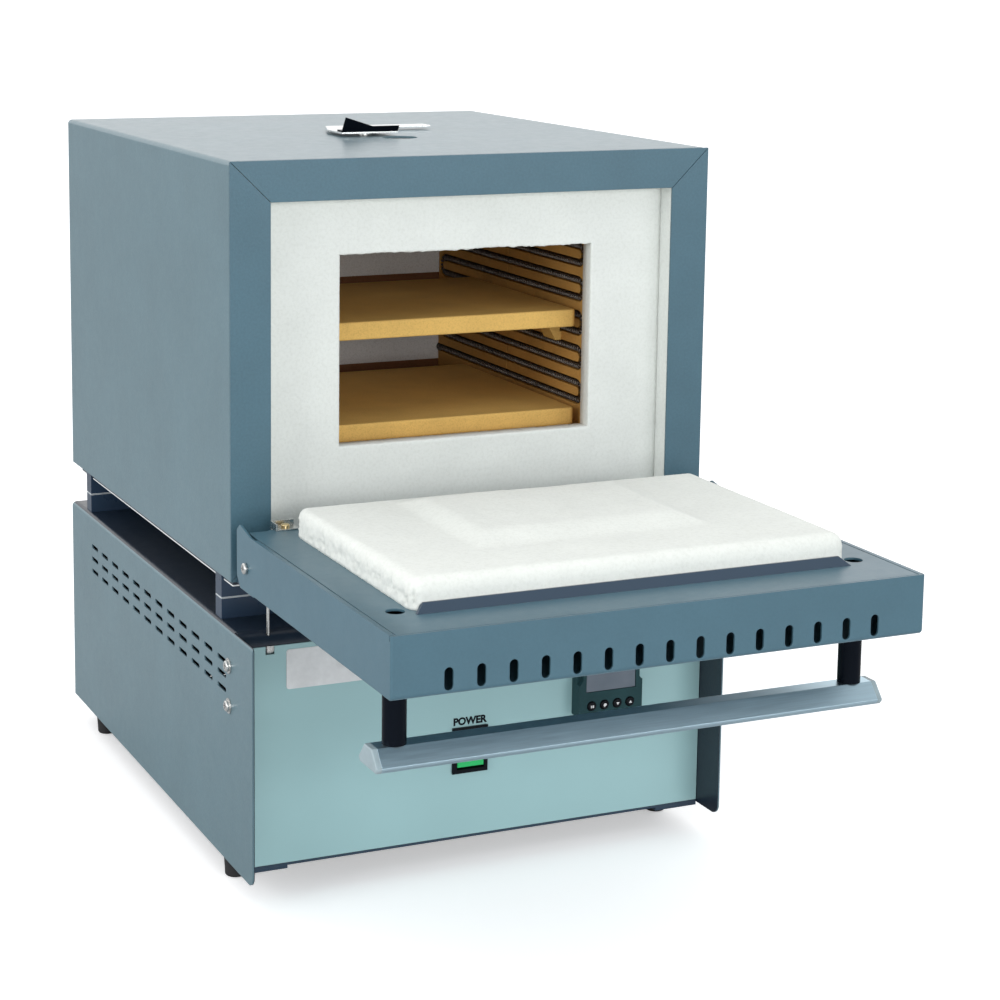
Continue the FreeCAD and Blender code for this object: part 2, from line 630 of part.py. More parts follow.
def base_panels():
    inside = HALF - SHEET - GAP
    low = BASE_BOTTOM + SHEET + GAP
    panel = box((-inside, inside), (PANEL_Y, PANEL_Y + SHEET), (low, PANEL_TOP))
    corner_z = BOTTOM + PANEL_TOP
    panel = rounded(panel, 5.0, lambda p: near(abs(p.x), inside) and near(p.z, corner_z), "Y")
    for side in (-1, 1):
        x = sorted((side * inside, side * (inside - SHEET)))
        flange = box(x, (PANEL_Y + SHEET, PANEL_Y + 26), (low + 4, PANEL_TOP - 8))
        for y, z in SIDE_SCREWS:
            flange = flange.cut(rod("x", (y, z), 2.1, -HALF, HALF))
        panel = panel.fuse(flange)
    hole = CONTROL_SIDE / 2 - 1.5
    panel = panel.cut(
        box((CONTROL_X - hole, CONTROL_X + hole), (PANEL_Y - 1, 0), (CONTROL_Z - hole, CONTROL_Z + hole))
    )
    wide, tall = ROCKER_BEZEL[0] / 2 - 1.8, ROCKER_BEZEL[1] / 2 - 1.8
    panel = panel.cut(
        box((ROCKER_X - wide, ROCKER_X + wide), (PANEL_Y - 1, 0), (ROCKER_Z - tall, ROCKER_Z + tall))
    )
    notch = rod("z", (ROD_X, ROD_Y), BUSH_RADIUS + 0.1, BUSH_HEIGHTS[0] - 0.4, PANEL_TOP + 2)
    keep("front_panel", panel.cut(notch).removeSplitter())

    floor = box((-inside, inside), (PANEL_Y, BASE_REAR - 3.5), (BASE_BOTTOM, BASE_BOTTOM + SHEET))
    for column in range(8):
        for y in (130.0, 210.0):
            x = -105.0 + column * 30.0
            hole = box((x - 2.5, x + 2.5), (y - 20, y + 20), (BASE_BOTTOM - 1, BASE_BOTTOM + 3))
            floor = floor.cut(hole)
    keep("base_floor", floor)

    rear_y = BASE_REAR - 3.5
    back = box((-inside, inside), (rear_y, rear_y + SHEET), (low, BASE_TOP - BASE_BEND))
    for side in (-1, 1):
        for z in BASE_REAR_SCREWS:
            back = back.cut(rod("y", (side * SCREW_X, z), 2.1, rear_y - 1, rear_y + 3))
    back = back.cut(rod("y", GLAND, 8.0, rear_y - 1, rear_y + 3))
    keep("base_back", back.removeSplitter())

    screws, rear_screws = [], []
    rear_places = [(z, BACK_PANEL + SHEET) for z in REAR_SCREW_HEIGHTS]
    rear_places += [(z, rear_y + SHEET) for z in BASE_REAR_SCREWS]
    for side in (-1, 1):
        for place in SIDE_SCREWS:
            radius, thick = WASHER
            washer = rod("x", place, radius, *sorted((side * HALF, side * (HALF + thick))))
            screw = pan_head("x", place, side * (HALF + thick), side, 6.0)
            screws.append(screw.fuse(washer).removeSplitter())
        for z, face in rear_places:
            rear_screws.append(pan_head("y", (side * SCREW_X, z), face, 1, 6.0))
    keep("panel_screws", *screws, *rear_screws)


def feet():
    plates, bumpers = [], []
    top = BASE_BOTTOM - FOOT_PLATE
    for side in (-1, 1):
        for depth in FOOT_DEPTHS:
            x = sorted((side * (HALF - SHEET - GAP), side * (FOOT_X - 22)))
            front = PANEL_Y if depth is FOOT_DEPTHS[0] else depth - 20
            plates.append(box(x, (front, depth + 20), (top, BASE_BOTTOM)))
            foot = Vector(side * FOOT_X, FRONT + depth, 0)
            bumper = Part.makeCone(FOOT_BOTTOM_RADIUS, FOOT_TOP_RADIUS, BOTTOM + top, foot, Vector(0, 0, 1))
            rim = [edge for edge in bumper.Edges if near(edge.CenterOfMass.z, 0)]
            bumpers.append(bumper.makeFillet(1.5, rim))
    keep("foot_plates", *plates)
    keep("rubber_feet", *bumpers)


# ---- controls ------------------------------------------------------------------------------------
def controller():
    half = CONTROL_SIDE / 2
    face = PANEL_Y - CONTROL_PROUD
    bezel = box((CONTROL_X - half, CONTROL_X + half), (face, PANEL_Y), (CONTROL_Z - half, CONTROL_Z + half))
    bezel = rounded(bezel, 1.6, lambda p: near(abs(p.x - CONTROL_X), half), "Y")
    for side in (-1, 1):
        centre = (CONTROL_X + side * (half + 2.6), CONTROL_Z + 4.0)
        bezel = bezel.cut(rod("y", centre, 5.6, face - 1, face + 4))
    window_low, window_high = CONTROL_Z - 6.2, CONTROL_Z + 19.0
    bezel = bezel.cut(box((CONTROL_X - 18.8, CONTROL_X + 18.8), (face - 1, face + 1.6), (window_low, window_high)))
    for x in button_places():
        bezel = bezel.cut(rod("y", (x, BUTTON_Z), BUTTON_RADIUS + 0.4, face - 1, face + 5.0))
    keep("controller_bezel", bezel)
    window = box(
        (CONTROL_X - 18.5, CONTROL_X + 18.5),
        (face + 0.4, face + 1.6),
        (window_low + GAP, window_high - GAP),
    )
    keep("controller_window", window)

    inner = half - 1.8
    keep(
        "controller_case",
        box((CONTROL_X - inner, CONTROL_X + inner), (PANEL_Y, 78), (CONTROL_Z - inner, CONTROL_Z + inner)),
    )
    for number, x in enumerate(button_places(), 1):
        button = rod("y", (x, BUTTON_Z), BUTTON_RADIUS, face - 1.2, face + 3.0)
        crown_y = FRONT + face - 1.2
        crown = [edge for edge in button.Edges if near(edge.CenterOfMass.y, crown_y)]
        keep("controller_button_%d" % number, button.makeFillet(1.0, crown))


def button_places():
    return [CONTROL_X + (index - 1.5) * BUTTON_PITCH for index in range(4)]


def power_switch():
    wide, tall = ROCKER_BEZEL[0] / 2, ROCKER_BEZEL[1] / 2
    face = PANEL_Y - 2.4
    inner_wide, inner_tall = ROCKER_SIZE[0] / 2 + 0.5, ROCKER_SIZE[1] / 2 + 0.5
    bezel = box((ROCKER_X - wide, ROCKER_X + wide), (face, PANEL_Y), (ROCKER_Z - tall, ROCKER_Z + tall))
    bezel = rounded(bezel, 0.9, lambda p: near(p.y, FRONT + face))
    neck_wide, neck_tall = wide - 2.0, tall - 2.0
    neck = box(
        (ROCKER_X - neck_wide, ROCKER_X + neck_wide),
        (PANEL_Y, 14),
        (ROCKER_Z - neck_tall, ROCKER_Z + neck_tall),
    )
    well = box(
        (ROCKER_X - inner_wide, ROCKER_X + inner_wide),
        (face - 1, 4),
        (ROCKER_Z - inner_tall, ROCKER_Z + inner_tall),
    )
    keep("switch_housing", bezel.fuse(neck).cut(well).removeSplitter())

    half_x, half_z = ROCKER_SIZE[0] / 2, ROCKER_SIZE[1] / 2
    proud = 3.4
    hinge_y = ROCKER_HINGE
    profile = [
        (face - proud, ROCKER_Z + half_z - 1.2),
        (face + 0.6, ROCKER_Z),
        (face + 0.2, ROCKER_Z - half_z + 1.2),
        (hinge_y - 3.0, ROCKER_Z - half_z + 1.2),
        (hinge_y + 2.5, ROCKER_Z),
        (hinge_y - 3.0, ROCKER_Z + half_z - 2.2),
    ]
    keep("power_rocker", side_prism(profile, (ROCKER_X - half_x, ROCKER_X + half_x)))


ROCKER_HINGE = -6.0


def label():
    plate = box((-137.0, -65.0), (PANEL_Y - 0.7, PANEL_Y), (-70.8, -44.5))
    keep("label_plate", rounded(plate, 2.0, lambda p: True, "Y"))


# ---- inside and behind the base ------------------------------------------------------------------
GLAND = (-120.0, -150.0)


def electrics():
    floor = BASE_BOTTOM + SHEET
    relay = box((20, 66), (150, 212), (floor, floor + 27))
    fins = box((14, 72), (146, 216), (floor + 27, floor + 31))
    for index in range(7):
        x = 16.0 + index * 8.4
        fins = fins.fuse(box((x, x + 2.0), (146, 216), (floor + 31, floor + 52)))
    keep("relay_and_heat_sink", relay, fins.removeSplitter())
    block = box((-60, 0), (250, 276), (floor, floor + 22))
    for index in range(6):
        x = -55.0 + index * 10.0
        block = block.cut(box((x - 3.5, x + 3.5), (249, 262), (floor + 12, floor + 23)))
    keep("terminal_block", block)
    keep("interlock_switch", box((ROD_X - 3, ROD_X + 3), (PANEL_Y + SHEET + GAP, 12), (-68, -51.3)))

    rear = BASE_REAR - 3.5
    body = rod("y", GLAND, 7.8, rear - 12, rear + SHEET + 2)
    nut = hexagon(GLAND, 11.0, (rear - 6, rear))
    cap = hexagon(GLAND, 11.0, (rear + SHEET, rear + SHEET + 5))
    gland = body.fuse(nut).fuse(cap).removeSplitter()
    keep("cord_gland", gland.cut(rod("y", GLAND, GLAND_BORE, rear - 20, rear + 20)))


GLAND_BORE = 4.5


def hexagon(centre, radius, y):
    x, z = centre
    points = [
        (x + radius * math.cos(math.radians(60 * side)), z + radius * math.sin(math.radians(60 * side)))
        for side in range(6)
    ]
    return front_prism(points, y)


# ---- door ----------------------------------------------------------------------------------------
EAR = [
    (DOOR_REAR - 22.0, DOOR_TOP - SHEET),
    (DOOR_REAR - 16.0, DOOR_TOP),
    (PIVOT_Y + 12.0, PIVOT_Z + 25.2),
    (PIVOT_Y + 17.6, PIVOT_Z + 21.0),
    (PIVOT_Y + 17.6, PIVOT_Z - 8.4),
    (PIVOT_Y + 11.6, DOOR_LOW),
    (DOOR_REAR - 22.0, DOOR_LOW),
]


def door_shell():
    outer = box((-DOOR_HALF, DOOR_HALF), (DOOR_FRONT, DOOR_REAR), (DOOR_LOW, DOOR_TOP))
    front_y, low_z = FRONT + DOOR_FRONT, BOTTOM + DOOR_LOW
    outer = rounded(outer, DOOR_BEND, lambda p: near(p.y, front_y) and near(p.z, low_z))
    outer = rounded(outer, 1.2, lambda p: near(p.y, front_y) and near(abs(p.x), DOOR_HALF), "Z")
    inside = DOOR_HALF - SHEET
    inner = box(
        (-inside, inside),
        (DOOR_FRONT + SHEET, DOOR_REAR - SHEET),
        (DOOR_LOW + SHEET, DOOR_TOP + 1),
    )
    shell = outer.cut(inner)
    for side in (-1, 1):
        x = sorted((side * inside, side * DOOR_HALF))
        ear = side_prism(EAR, x)
        tip = [
            edge
            for edge in ear.Edges
            if near(edge.Vertexes[0].Point.y, edge.Vertexes[-1].Point.y)
            and near(edge.Vertexes[0].Point.z, edge.Vertexes[-1].Point.z)
            and edge.Vertexes[0].Point.y > FRONT + PIVOT_Y + 11
        ]
        shell = shell.fuse(ear.makeFillet(1.6, tip))
        hem = box(
            sorted((side * (DOOR_HALF - HEM), side * inside)),
            (DOOR_FRONT + SHEET, DOOR_REAR - 22.0),
            (DOOR_TOP - 9.0, DOOR_TOP),
        )
        shell = shell.fuse(hem)
    cutters = []
    for index in range(SLOT_COUNT):
        x = (index - (SLOT_COUNT - 1) / 2) * SLOT_PITCH
        cutters.append(slot("y", (x, SLOT_Z), SLOT_SIZE[1], SLOT_SIZE[0], (DOOR_FRONT - 1, DOOR_FRONT + 3)))
    for side in (-1, 1):
        x = sorted((side * (DOOR_HALF + 1), side * (DOOR_HALF - SHEET - 0.3)))
        relief = (DOOR_FRONT + SHEET, DOOR_FRONT + SHEET + 0.8)
        cutters.append(box(x, relief, (DOOR_TOP - 3.2, DOOR_TOP + 1)))
        x = sorted((side * (BRACKET_X - 1.4), side * inside))
        cutters.append(box(x, (PIVOT_Y - 8, DOOR_REAR + 1), (DOOR_LOW - 1, DOOR_LOW + SHEET + 0.1)))
        cutters.append(box(x, (DOOR_REAR - SHEET - 0.1, DOOR_REAR + 0.1), (DOOR_LOW, DOOR_TOP + 1)))
        cutters.append(rod("z", (side * STANDOFF_X, HANDLE_Y), 2.7, DOOR_LOW - 1, DOOR_LOW + 3))
    shell = shell.cut(Part.makeCompound(cutters))
    pins = rod("x", (PIVOT_Y, PIVOT_Z), PIN_RADIUS + PIN_CLEARANCE, -DOOR_HALF - 1, DOOR_HALF + 1)
    keep("door_shell", shell.cut(pins).removeSplitter())


def door_inner():
    inside = DOOR_HALF - HEM - 0.8
    plate = box((-inside, inside), (DOOR_FRONT + SHEET + GAP, DOOR_REAR - SHEET - GAP), (DOOR_TOP - SHEET, DOOR_TOP))
    for side in (-1, 1):
        plate = plate.cut(rod("z", (side * STANDOFF_X, HANDLE_Y), 5.6, DOOR_TOP - 3, DOOR_TOP + 1))
    keep("door_inner_plate", plate)

    low = DOOR_TOP
    slab = box((-BLOCK_HALF, BLOCK_HALF), (BLOCK_FRONT, BLOCK_REAR), (low, low + BLOCK_THICK))
    top_z = BOTTOM + low + BLOCK_THICK
    front_y = FRONT + BLOCK_FRONT
    slab = rounded(slab, 9.0, lambda p: near(p.z, top_z) and near(p.y, front_y))
    plug = Part.makeLoft([plug_outline(PLUG_LOW, 0), plug_outline(PLUG_HIGH, PLUG_RISE)], True, True)
    keep("door_insulation", slab.fuse(plug).removeSplitter())

    strip = [
        (-227.6, low),
        (-222.8, low + 5.0),
        (BLOCK_FRONT - GAP, low + 5.0),
        (BLOCK_FRONT - GAP, low + 3.6),
        (-225.4, low),
    ]
    bar = side_prism(strip, (-BLOCK_HALF, BLOCK_HALF))
    mitre = 7.0
    for side in (-1, 1):
        wedge = [
            (side * BLOCK_HALF, low - 1),
            (side * (BLOCK_HALF - mitre), low + 5.1),
            (side * (BLOCK_HALF + 2), low + 5.1),
            (side * (BLOCK_HALF + 2), low - 1),
        ]
        bar = bar.cut(front_prism(wedge, (-235, -215)))
    keep("block_front_strip", bar)


def plug_outline(size, height):
    half, front, rear = size
    corners = [(-half, front), (half, front), (half, rear), (-half, rear)]
    z = BOTTOM + DOOR_TOP + BLOCK_THICK + height
    points = [Vector(x, FRONT + y, z) for x, y in corners]
    return Part.makePolygon(points + points[:1])


def door_actuator():
    """Keeps the clip and hands back its screw."""
    low = DOOR_TOP
    left, right = -149.5, -134.0
    clip = box((left, right), (-27.0, -15.4), (low, low + 1.0))
    clip = clip.fuse(box((left, right), (-16.4, -15.4), (low, low + 4.4)))
    clip = clip.fuse(box((left, left + 1.0), (-27.0, -15.4), (low, low + 4.4))).removeSplitter()
    keep("interlock_actuator", clip.cut(rod("z", (-141.5, -21.6), 1.6, low - 1, low + 2)))
    screw = rod("z", (-141.5, -21.6), 2.8, low + 1.0, low + 3.2)
    screw = rounded_disc(screw, BOTTOM + low + 3.2, 1.0)
    screw = screw.fuse(rod("z", (-141.5, -21.6), 1.5, low, low + 1.2))
    return screw.removeSplitter()


def handle(actuator_screw):
    top = HANDLE_TOP
    outline = [
        (-5.4, 0.0),
        (5.4, 0.0),
        (13.2, -9.2),
        (13.0, -10.4),
        (11.2, -12.4),
        (-11.2, -12.4),
        (-13.0, -10.4),
        (-13.2, -9.2),
    ]
    profile = [(HANDLE_Y + y, top + z) for y, z in outline]
    bar = side_prism(profile, (-HANDLE_HALF, HANDLE_HALF))
    for side in (-1, 1):
        bar = bar.cut(rod("z", (side * STANDOFF_X, HANDLE_Y), 2.7, top - 7, top + 1))
    keep("handle_bar", bar)
    cap = side_prism(profile, (HANDLE_HALF, HANDLE_HALF + HANDLE_CAP))
    end_x = HANDLE_HALF + HANDLE_CAP
    cap = rounded(cap, 1.0, lambda p: near(p.x, end_x))
    keep("handle_end_caps", *both_sides(cap))

    posts, screws = [], []
    for side in (-1, 1):
        centre = (side * STANDOFF_X, HANDLE_Y)
        post = rod("z", centre, STANDOFF_RADIUS, top, DOOR_LOW)
        posts.append(post.cut(rod("z", centre, 2.7, top - 1, DOOR_LOW + 1)))
        head = rod("z", centre, 4.8, DOOR_LOW + SHEET, DOOR_LOW + SHEET + 3.4)
        screws.append(head.fuse(rod("z", centre, 2.5, top - 6, DOOR_LOW + SHEET)).removeSplitter())
    keep("handle_standoffs", *posts)
    keep("door_screws", actuator_screw, *screws)


def hinges():
    inner, outer = BRACKET_X, BRACKET_X + BRACKET_THICK
    knee = (PIVOT_Y + 5.0, PIVOT_Z - 13.0)
    lean = math.atan2(knee[1] - PIVOT_Z, knee[0] - PIVOT_Y)
    across = (-math.sin(lean), math.cos(lean))
    link = [
        (PIVOT_Y + across[0] * 7.0, PIVOT_Z + across[1] * 7.0),
        (knee[0] + across[0] * 4.2, knee[1] + across[1] * 4.2),
        (knee[0] - across[0] * 4.2, knee[1] - across[1] * 4.2),
        (PIVOT_Y - across[0] * 7.0, PIVOT_Z - across[1] * 7.0),
    ]
    plate = rod("x", (PIVOT_Y, PIVOT_Z), 7.0, inner, outer).fuse(rod("x", knee, 4.2, inner, outer))
    plate = plate.fuse(side_prism(link, (inner, outer)))
    plate = plate.fuse(box((inner, outer), (knee[0], -GAP), (knee[1] - 4.2, knee[1] + 4.2)))
    plate = plate.fuse(box((inner, outer + 9.0), (-GAP - BRACKET_THICK, -GAP), (knee[1] - 4.2, 20.0)))
    plate = plate.removeSplitter().cut(rod("x", (PIVOT_Y, PIVOT_Z), PIN_RADIUS, inner - 1, outer + 1))
    ear_inner = DOOR_HALF - SHEET
    spacer = rod("x", (PIVOT_Y, PIVOT_Z), 5.0, outer, ear_inner - GAP)
    spacer = spacer.cut(rod("x", (PIVOT_Y, PIVOT_Z), PIN_RADIUS, outer - 1, ear_inner))
    keep("hinge_brackets", *both_sides(plate), *both_sides(spacer))

    face = DOOR_HALF + GAP
    pin = rod("x", (PIVOT_Y, PIVOT_Z), PIN_RADIUS, inner - 2, face)
    head = rod("x", (PIVOT_Y, PIVOT_Z), SCREW_HEAD, face, face + 2.2)
    rim = [edge for edge in head.Edges if near(edge.CenterOfMass.x, face + 2.2)]
    head = head.makeFillet(1.2, rim)
    pin = pin.fuse(head)
    for y, z in ((2.0, 0.4), (0.4, 2.0)):
        pin = pin.cut(box((face + 1.1, face + 3), (PIVOT_Y - y, PIVOT_Y + y), (PIVOT_Z - z, PIVOT_Z + z)))
    keep("hinge_pins", *both_sides(pin.removeSplitter()))


def interlock():
    shaft = rod("z", (ROD_X, ROD_Y), ROD_RADIUS, ROD_BOTTOM, ROD_TOP)
    ends = [edge for edge in shaft.Edges if near(edge.CenterOfMass.z, BOTTOM + ROD_TOP)]
    keep("interlock_rod", shaft.makeFillet(0.5, ends))
    bush = rod("z", (ROD_X, ROD_Y), BUSH_RADIUS, *BUSH_HEIGHTS)
    bush = rounded_disc(bush, BOTTOM + BUSH_HEIGHTS[0], 2.0)
    bush = bush.cut(rod("z", (ROD_X, ROD_Y), ROD_RADIUS + 0.06, BASE_TOP - 16, BASE_TOP))
    keep("rod_bush", bush)


casing()
face_frame()
casing_back()
casing_pan()
insulation()
heating_walls()
chamber_plates()
ware_plates()
chamber_fittings()
vent_cover()
channels()
base_wrap()
base_panels()
feet()
controller()
power_switch()
label()
electrics()
door_shell()
door_inner()
handle(door_actuator())
hinges()
interlock()

os.makedirs("parts", exist_ok=True)
for name, shape in parts.items():
    shape.exportStep("parts/" + name + ".step")
print(len(parts), "nodes")
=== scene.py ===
import math

import bmesh
import bpy
from mathutils import Matrix, Vector, noise


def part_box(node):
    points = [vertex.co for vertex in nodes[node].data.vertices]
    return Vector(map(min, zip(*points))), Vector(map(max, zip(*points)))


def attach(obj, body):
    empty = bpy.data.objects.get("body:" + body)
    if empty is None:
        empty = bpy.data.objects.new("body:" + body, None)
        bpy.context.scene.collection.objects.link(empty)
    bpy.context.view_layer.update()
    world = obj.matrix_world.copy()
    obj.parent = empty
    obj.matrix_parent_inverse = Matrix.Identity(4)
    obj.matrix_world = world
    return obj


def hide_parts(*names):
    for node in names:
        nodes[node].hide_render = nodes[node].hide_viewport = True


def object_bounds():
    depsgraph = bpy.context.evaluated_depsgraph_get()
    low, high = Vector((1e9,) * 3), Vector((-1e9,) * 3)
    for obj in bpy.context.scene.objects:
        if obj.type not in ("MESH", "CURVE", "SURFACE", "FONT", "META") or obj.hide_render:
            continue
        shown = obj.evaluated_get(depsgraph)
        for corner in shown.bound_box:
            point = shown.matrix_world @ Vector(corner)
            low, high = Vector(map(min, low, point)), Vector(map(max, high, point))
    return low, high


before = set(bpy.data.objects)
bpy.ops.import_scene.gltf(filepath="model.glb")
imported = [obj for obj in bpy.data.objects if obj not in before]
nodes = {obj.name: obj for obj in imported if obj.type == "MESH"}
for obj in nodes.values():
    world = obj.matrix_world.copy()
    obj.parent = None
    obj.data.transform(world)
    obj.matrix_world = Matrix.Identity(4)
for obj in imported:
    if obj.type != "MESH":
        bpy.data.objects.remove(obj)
cad_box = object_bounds()

MM = 0.001


# ---- camera, light and floor ---------------------------------------------------------------------
CAMERA_PLACE = (-0.6358, -1.4208, 0.6048)
CAMERA_TURN = (23.20, 9.07, 0.46)     # degrees: to the right, down, and round the view's axis
CAMERA_LENS = 83.63
CAMERA_SENSOR = 36
CAMERA_SHIFT = (0.10, -0.18)

# The room lights the object: dimmer in front (low Y), brighter behind.
ROOM_FRONT = (0.08, (0.34, 0.36, 0.38, 1))
ROOM_BEHIND = (0.85, (1, 1, 1, 1))
ROOM_STRENGTH = 1.35
BACKDROP_STRENGTH = 1.05
# Each lamp's name, place, target, size (metres) and power (watts).
LAMPS = (
    ("front", (-0.55, -2.9, 0.80), (0, -0.05, 0.30), (1.2, 1.2), 26),
    ("left", (-2.4, -0.6, 1.0), (0, 0.05, 0.25), (1.4, 1.4), 24),
    ("right", (1.2, -2.8, 0.90), (0, -0.1, 0.15), (1.6, 0.5), 20),
)
FLOOR_REACH = 60
FLOOR_GAP = 0.0002                    # keeps the floor's face off the feet's faces


def make_camera():
    """The view from the front left, a little above the top of the casing."""
    yaw, pitch, roll = (math.radians(angle) for angle in CAMERA_TURN)
    level_part = math.cos(pitch)
    forward = Vector((math.sin(yaw) * level_part, math.cos(yaw) * level_part, -math.sin(pitch)))
    level = Vector((math.cos(yaw), -math.sin(yaw), 0))
    upright = level.cross(forward)
    right = level * math.cos(roll) + upright * math.sin(roll)
    up = upright * math.cos(roll) - level * math.sin(roll)
    data = bpy.data.cameras.new("camera")
    data.sensor_width = CAMERA_SENSOR
    data.lens = CAMERA_LENS
    data.shift_x, data.shift_y = CAMERA_SHIFT
    data.clip_start = 0.05
    data.clip_end = 200
    camera = bpy.data.objects.new("camera", data)
    turn = Matrix((right, up, -forward)).transposed().to_4x4()
    camera.matrix_world = Matrix.Translation(CAMERA_PLACE) @ turn
    bpy.context.scene.collection.objects.link(camera)
    bpy.context.scene.camera = camera


def area_light(name, place, target, size, power):
    data = bpy.data.lights.new(name, "AREA")
    data.shape = "RECTANGLE"
    data.size, data.size_y = size
    data.energy = power
    lamp = bpy.data.objects.new(name, data)
    lamp.location = place
    lamp.rotation_mode = "QUATERNION"
    lamp.rotation_quaternion = (Vector(target) - Vector(place)).to_track_quat("-Z", "Y")
    bpy.context.scene.collection.objects.link(lamp)


def make_light():
    """A room that only lights the object, a white backdrop that only the camera sees, and lamps."""
    world = bpy.data.worlds.new("studio")
    bpy.context.scene.world = world
    world.use_nodes = True
    tree = world.node_tree
    room = tree.nodes["Background"]
    direction = tree.nodes.new("ShaderNodeTexCoord").outputs["Generated"]
    split = tree.nodes.new("ShaderNodeSeparateXYZ")
    tree.links.new(direction, split.inputs[0])
    ramp = tree.nodes.new("ShaderNodeValToRGB")
    scale = tree.nodes.new("ShaderNodeMapRange")
    scale.inputs["From Min"].default_value = -1.0
    tree.links.new(split.outputs["Y"], scale.inputs["Value"])
    tree.links.new(scale.outputs[0], ramp.inputs[0])
    for element, (position, colour) in zip(ramp.color_ramp.elements, (ROOM_FRONT, ROOM_BEHIND)):
        element.position = position
        element.color = colour
    tree.links.new(ramp.outputs[0], room.inputs["Color"])
    room.inputs["Strength"].default_value = ROOM_STRENGTH
    backdrop = tree.nodes.new("ShaderNodeBackground")
    backdrop.inputs["Strength"].default_value = BACKDROP_STRENGTH
    path = tree.nodes.new("ShaderNodeLightPath")
    choose = tree.nodes.new("ShaderNodeMixShader")
    tree.links.new(path.outputs["Is Camera Ray"], choose.inputs[0])
    tree.links.new(room.outputs[0], choose.inputs[1])
    tree.links.new(backdrop.outputs[0], choose.inputs[2])
    tree.links.new(choose.outputs[0], tree.nodes["World Output"].inputs["Surface"])
    for lamp in LAMPS:
        area_light(*lamp)


def make_floor():
    mesh = bpy.data.meshes.new("floor")
    low = cad_box[0].z - FLOOR_GAP
    corners = [(x * FLOOR_REACH, y * FLOOR_REACH, low) for x, y in ((-1, -1), (1, -1), (1, 1), (-1, 1))]
    mesh.from_pydata(corners, [], [(0, 1, 2, 3)])
    floor = bpy.data.objects.new("floor", mesh)
    bpy.context.scene.collection.objects.link(floor)
    floor.data.materials.append(MATERIALS["floor"])


# ---- materials -----------------------------------------------------------------------------------
class Surface:
    """One procedural material; its helpers add nodes and hand back their outputs."""

    def __init__(self, name):
        self.material = bpy.data.materials.new(name)
        self.material.use_nodes = True
        self.tree = self.material.node_tree
        self.shader = self.tree.nodes["Principled BSDF"]
        self.place = self.tree.nodes.new("ShaderNodeTexCoord").outputs["Object"]

    def add(self, kind, **settings):
        node = self.tree.nodes.new(kind)
        for key, value in settings.items():
            setattr(node, key, value)
        return node

    def link(self, source, target):
        self.tree.links.new(source, target)

    def set(self, **values):
        for key, value in values.items():
            self.shader.inputs[key.replace("_", " ")].default_value = value

    def stretched(self, scale):
        mapping = self.add("ShaderNodeMapping")
        mapping.inputs["Scale"].default_value = scale
        self.link(self.place, mapping.inputs["Vector"])
        return mapping.outputs[0]

    def noise(self, size_mm, detail=3.0, rough=0.5, place=None, distortion=0.0):
        node = self.add("ShaderNodeTexNoise")
        node.inputs["Scale"].default_value = 1 / (size_mm * MM)
        node.inputs["Detail"].default_value = detail
        node.inputs["Roughness"].default_value = rough
        node.inputs["Distortion"].default_value = distortion
        self.link(place or self.place, node.inputs["Vector"])
        return node.outputs["Fac"]

    def cells(self, size_mm):
        node = self.add("ShaderNodeTexVoronoi", feature="SMOOTH_F1")
        node.inputs["Scale"].default_value = 1 / (size_mm * MM)
        node.inputs["Smoothness"].default_value = 0.6
        self.link(self.place, node.inputs["Vector"])
        return node.outputs["Distance"]

    def ramp(self, value, stops):
        node = self.add("ShaderNodeValToRGB")
        elements = node.color_ramp.elements
        while len(elements) < len(stops):
            elements.new(0.5)
        for element, (position, colour) in zip(elements, stops):
            element.position = position
            element.color = (*colour, 1)
        self.link(value, node.inputs[0])
        return node.outputs[0]

    def math(self, operation, a, b):
        node = self.add("ShaderNodeMath", operation=operation)
        for socket, value in zip(node.inputs, (a, b)):
            if isinstance(value, (int, float)):
                socket.default_value = value
            else:
                self.link(value, socket)
        return node.outputs[0]

    def mix(self, factor, a, b, blend="MIX"):
        node = self.add("ShaderNodeMix", data_type="RGBA", blend_type=blend)
        for socket, value in ((node.inputs[0], factor), (node.inputs[6], a), (node.inputs[7], b)):
            if isinstance(value, (int, float)):
                socket.default_value = value
            elif isinstance(value, tuple):
                socket.default_value = (*value, 1)
            else:
                self.link(value, socket)
        return node.outputs[2]

    def beyond(self, axis, limit, absolute=False):
        """1 where the place along an axis is past the limit (metres), 0 before it."""
        split = self.add("ShaderNodeSeparateXYZ")
        self.link(self.place, split.inputs[0])
        value = split.outputs[axis]
        if absolute:
            value = self.math("ABSOLUTE", value, 0)
        return self.math("GREATER_THAN", value, limit)

    def colour(self, output):
        self.link(output, self.shader.inputs["Base Color"])

    def roughness(self, value, low, high):
        node = self.add("ShaderNodeMapRange")
        node.inputs["To Min"].default_value = low
        node.inputs["To Max"].default_value = high
        self.link(value, node.inputs["Value"])
        self.link(node.outputs[0], self.shader.inputs["Roughness"])

    def relief(self, layers, edge_mm=0.0):
        """layers holds (height output, depth in mm, strength); edge_mm softens the sharp edges."""
        normal = None
        if edge_mm:
            bevel = self.add("ShaderNodeBevel", samples=6)
            bevel.inputs["Radius"].default_value = edge_mm * MM
            normal = bevel.outputs[0]
        for height, depth, strength in layers:
            bump = self.add("ShaderNodeBump")
            bump.inputs["Distance"].default_value = depth * MM
            bump.inputs["Strength"].default_value = strength
            self.link(height, bump.inputs["Height"])
            if normal:
                self.link(normal, bump.inputs["Normal"])
            normal = bump.outputs[0]
        self.link(normal, self.shader.inputs["Normal"])


def tint(colour, factor):
    return tuple(min(1.0, channel * factor) for channel in colour)


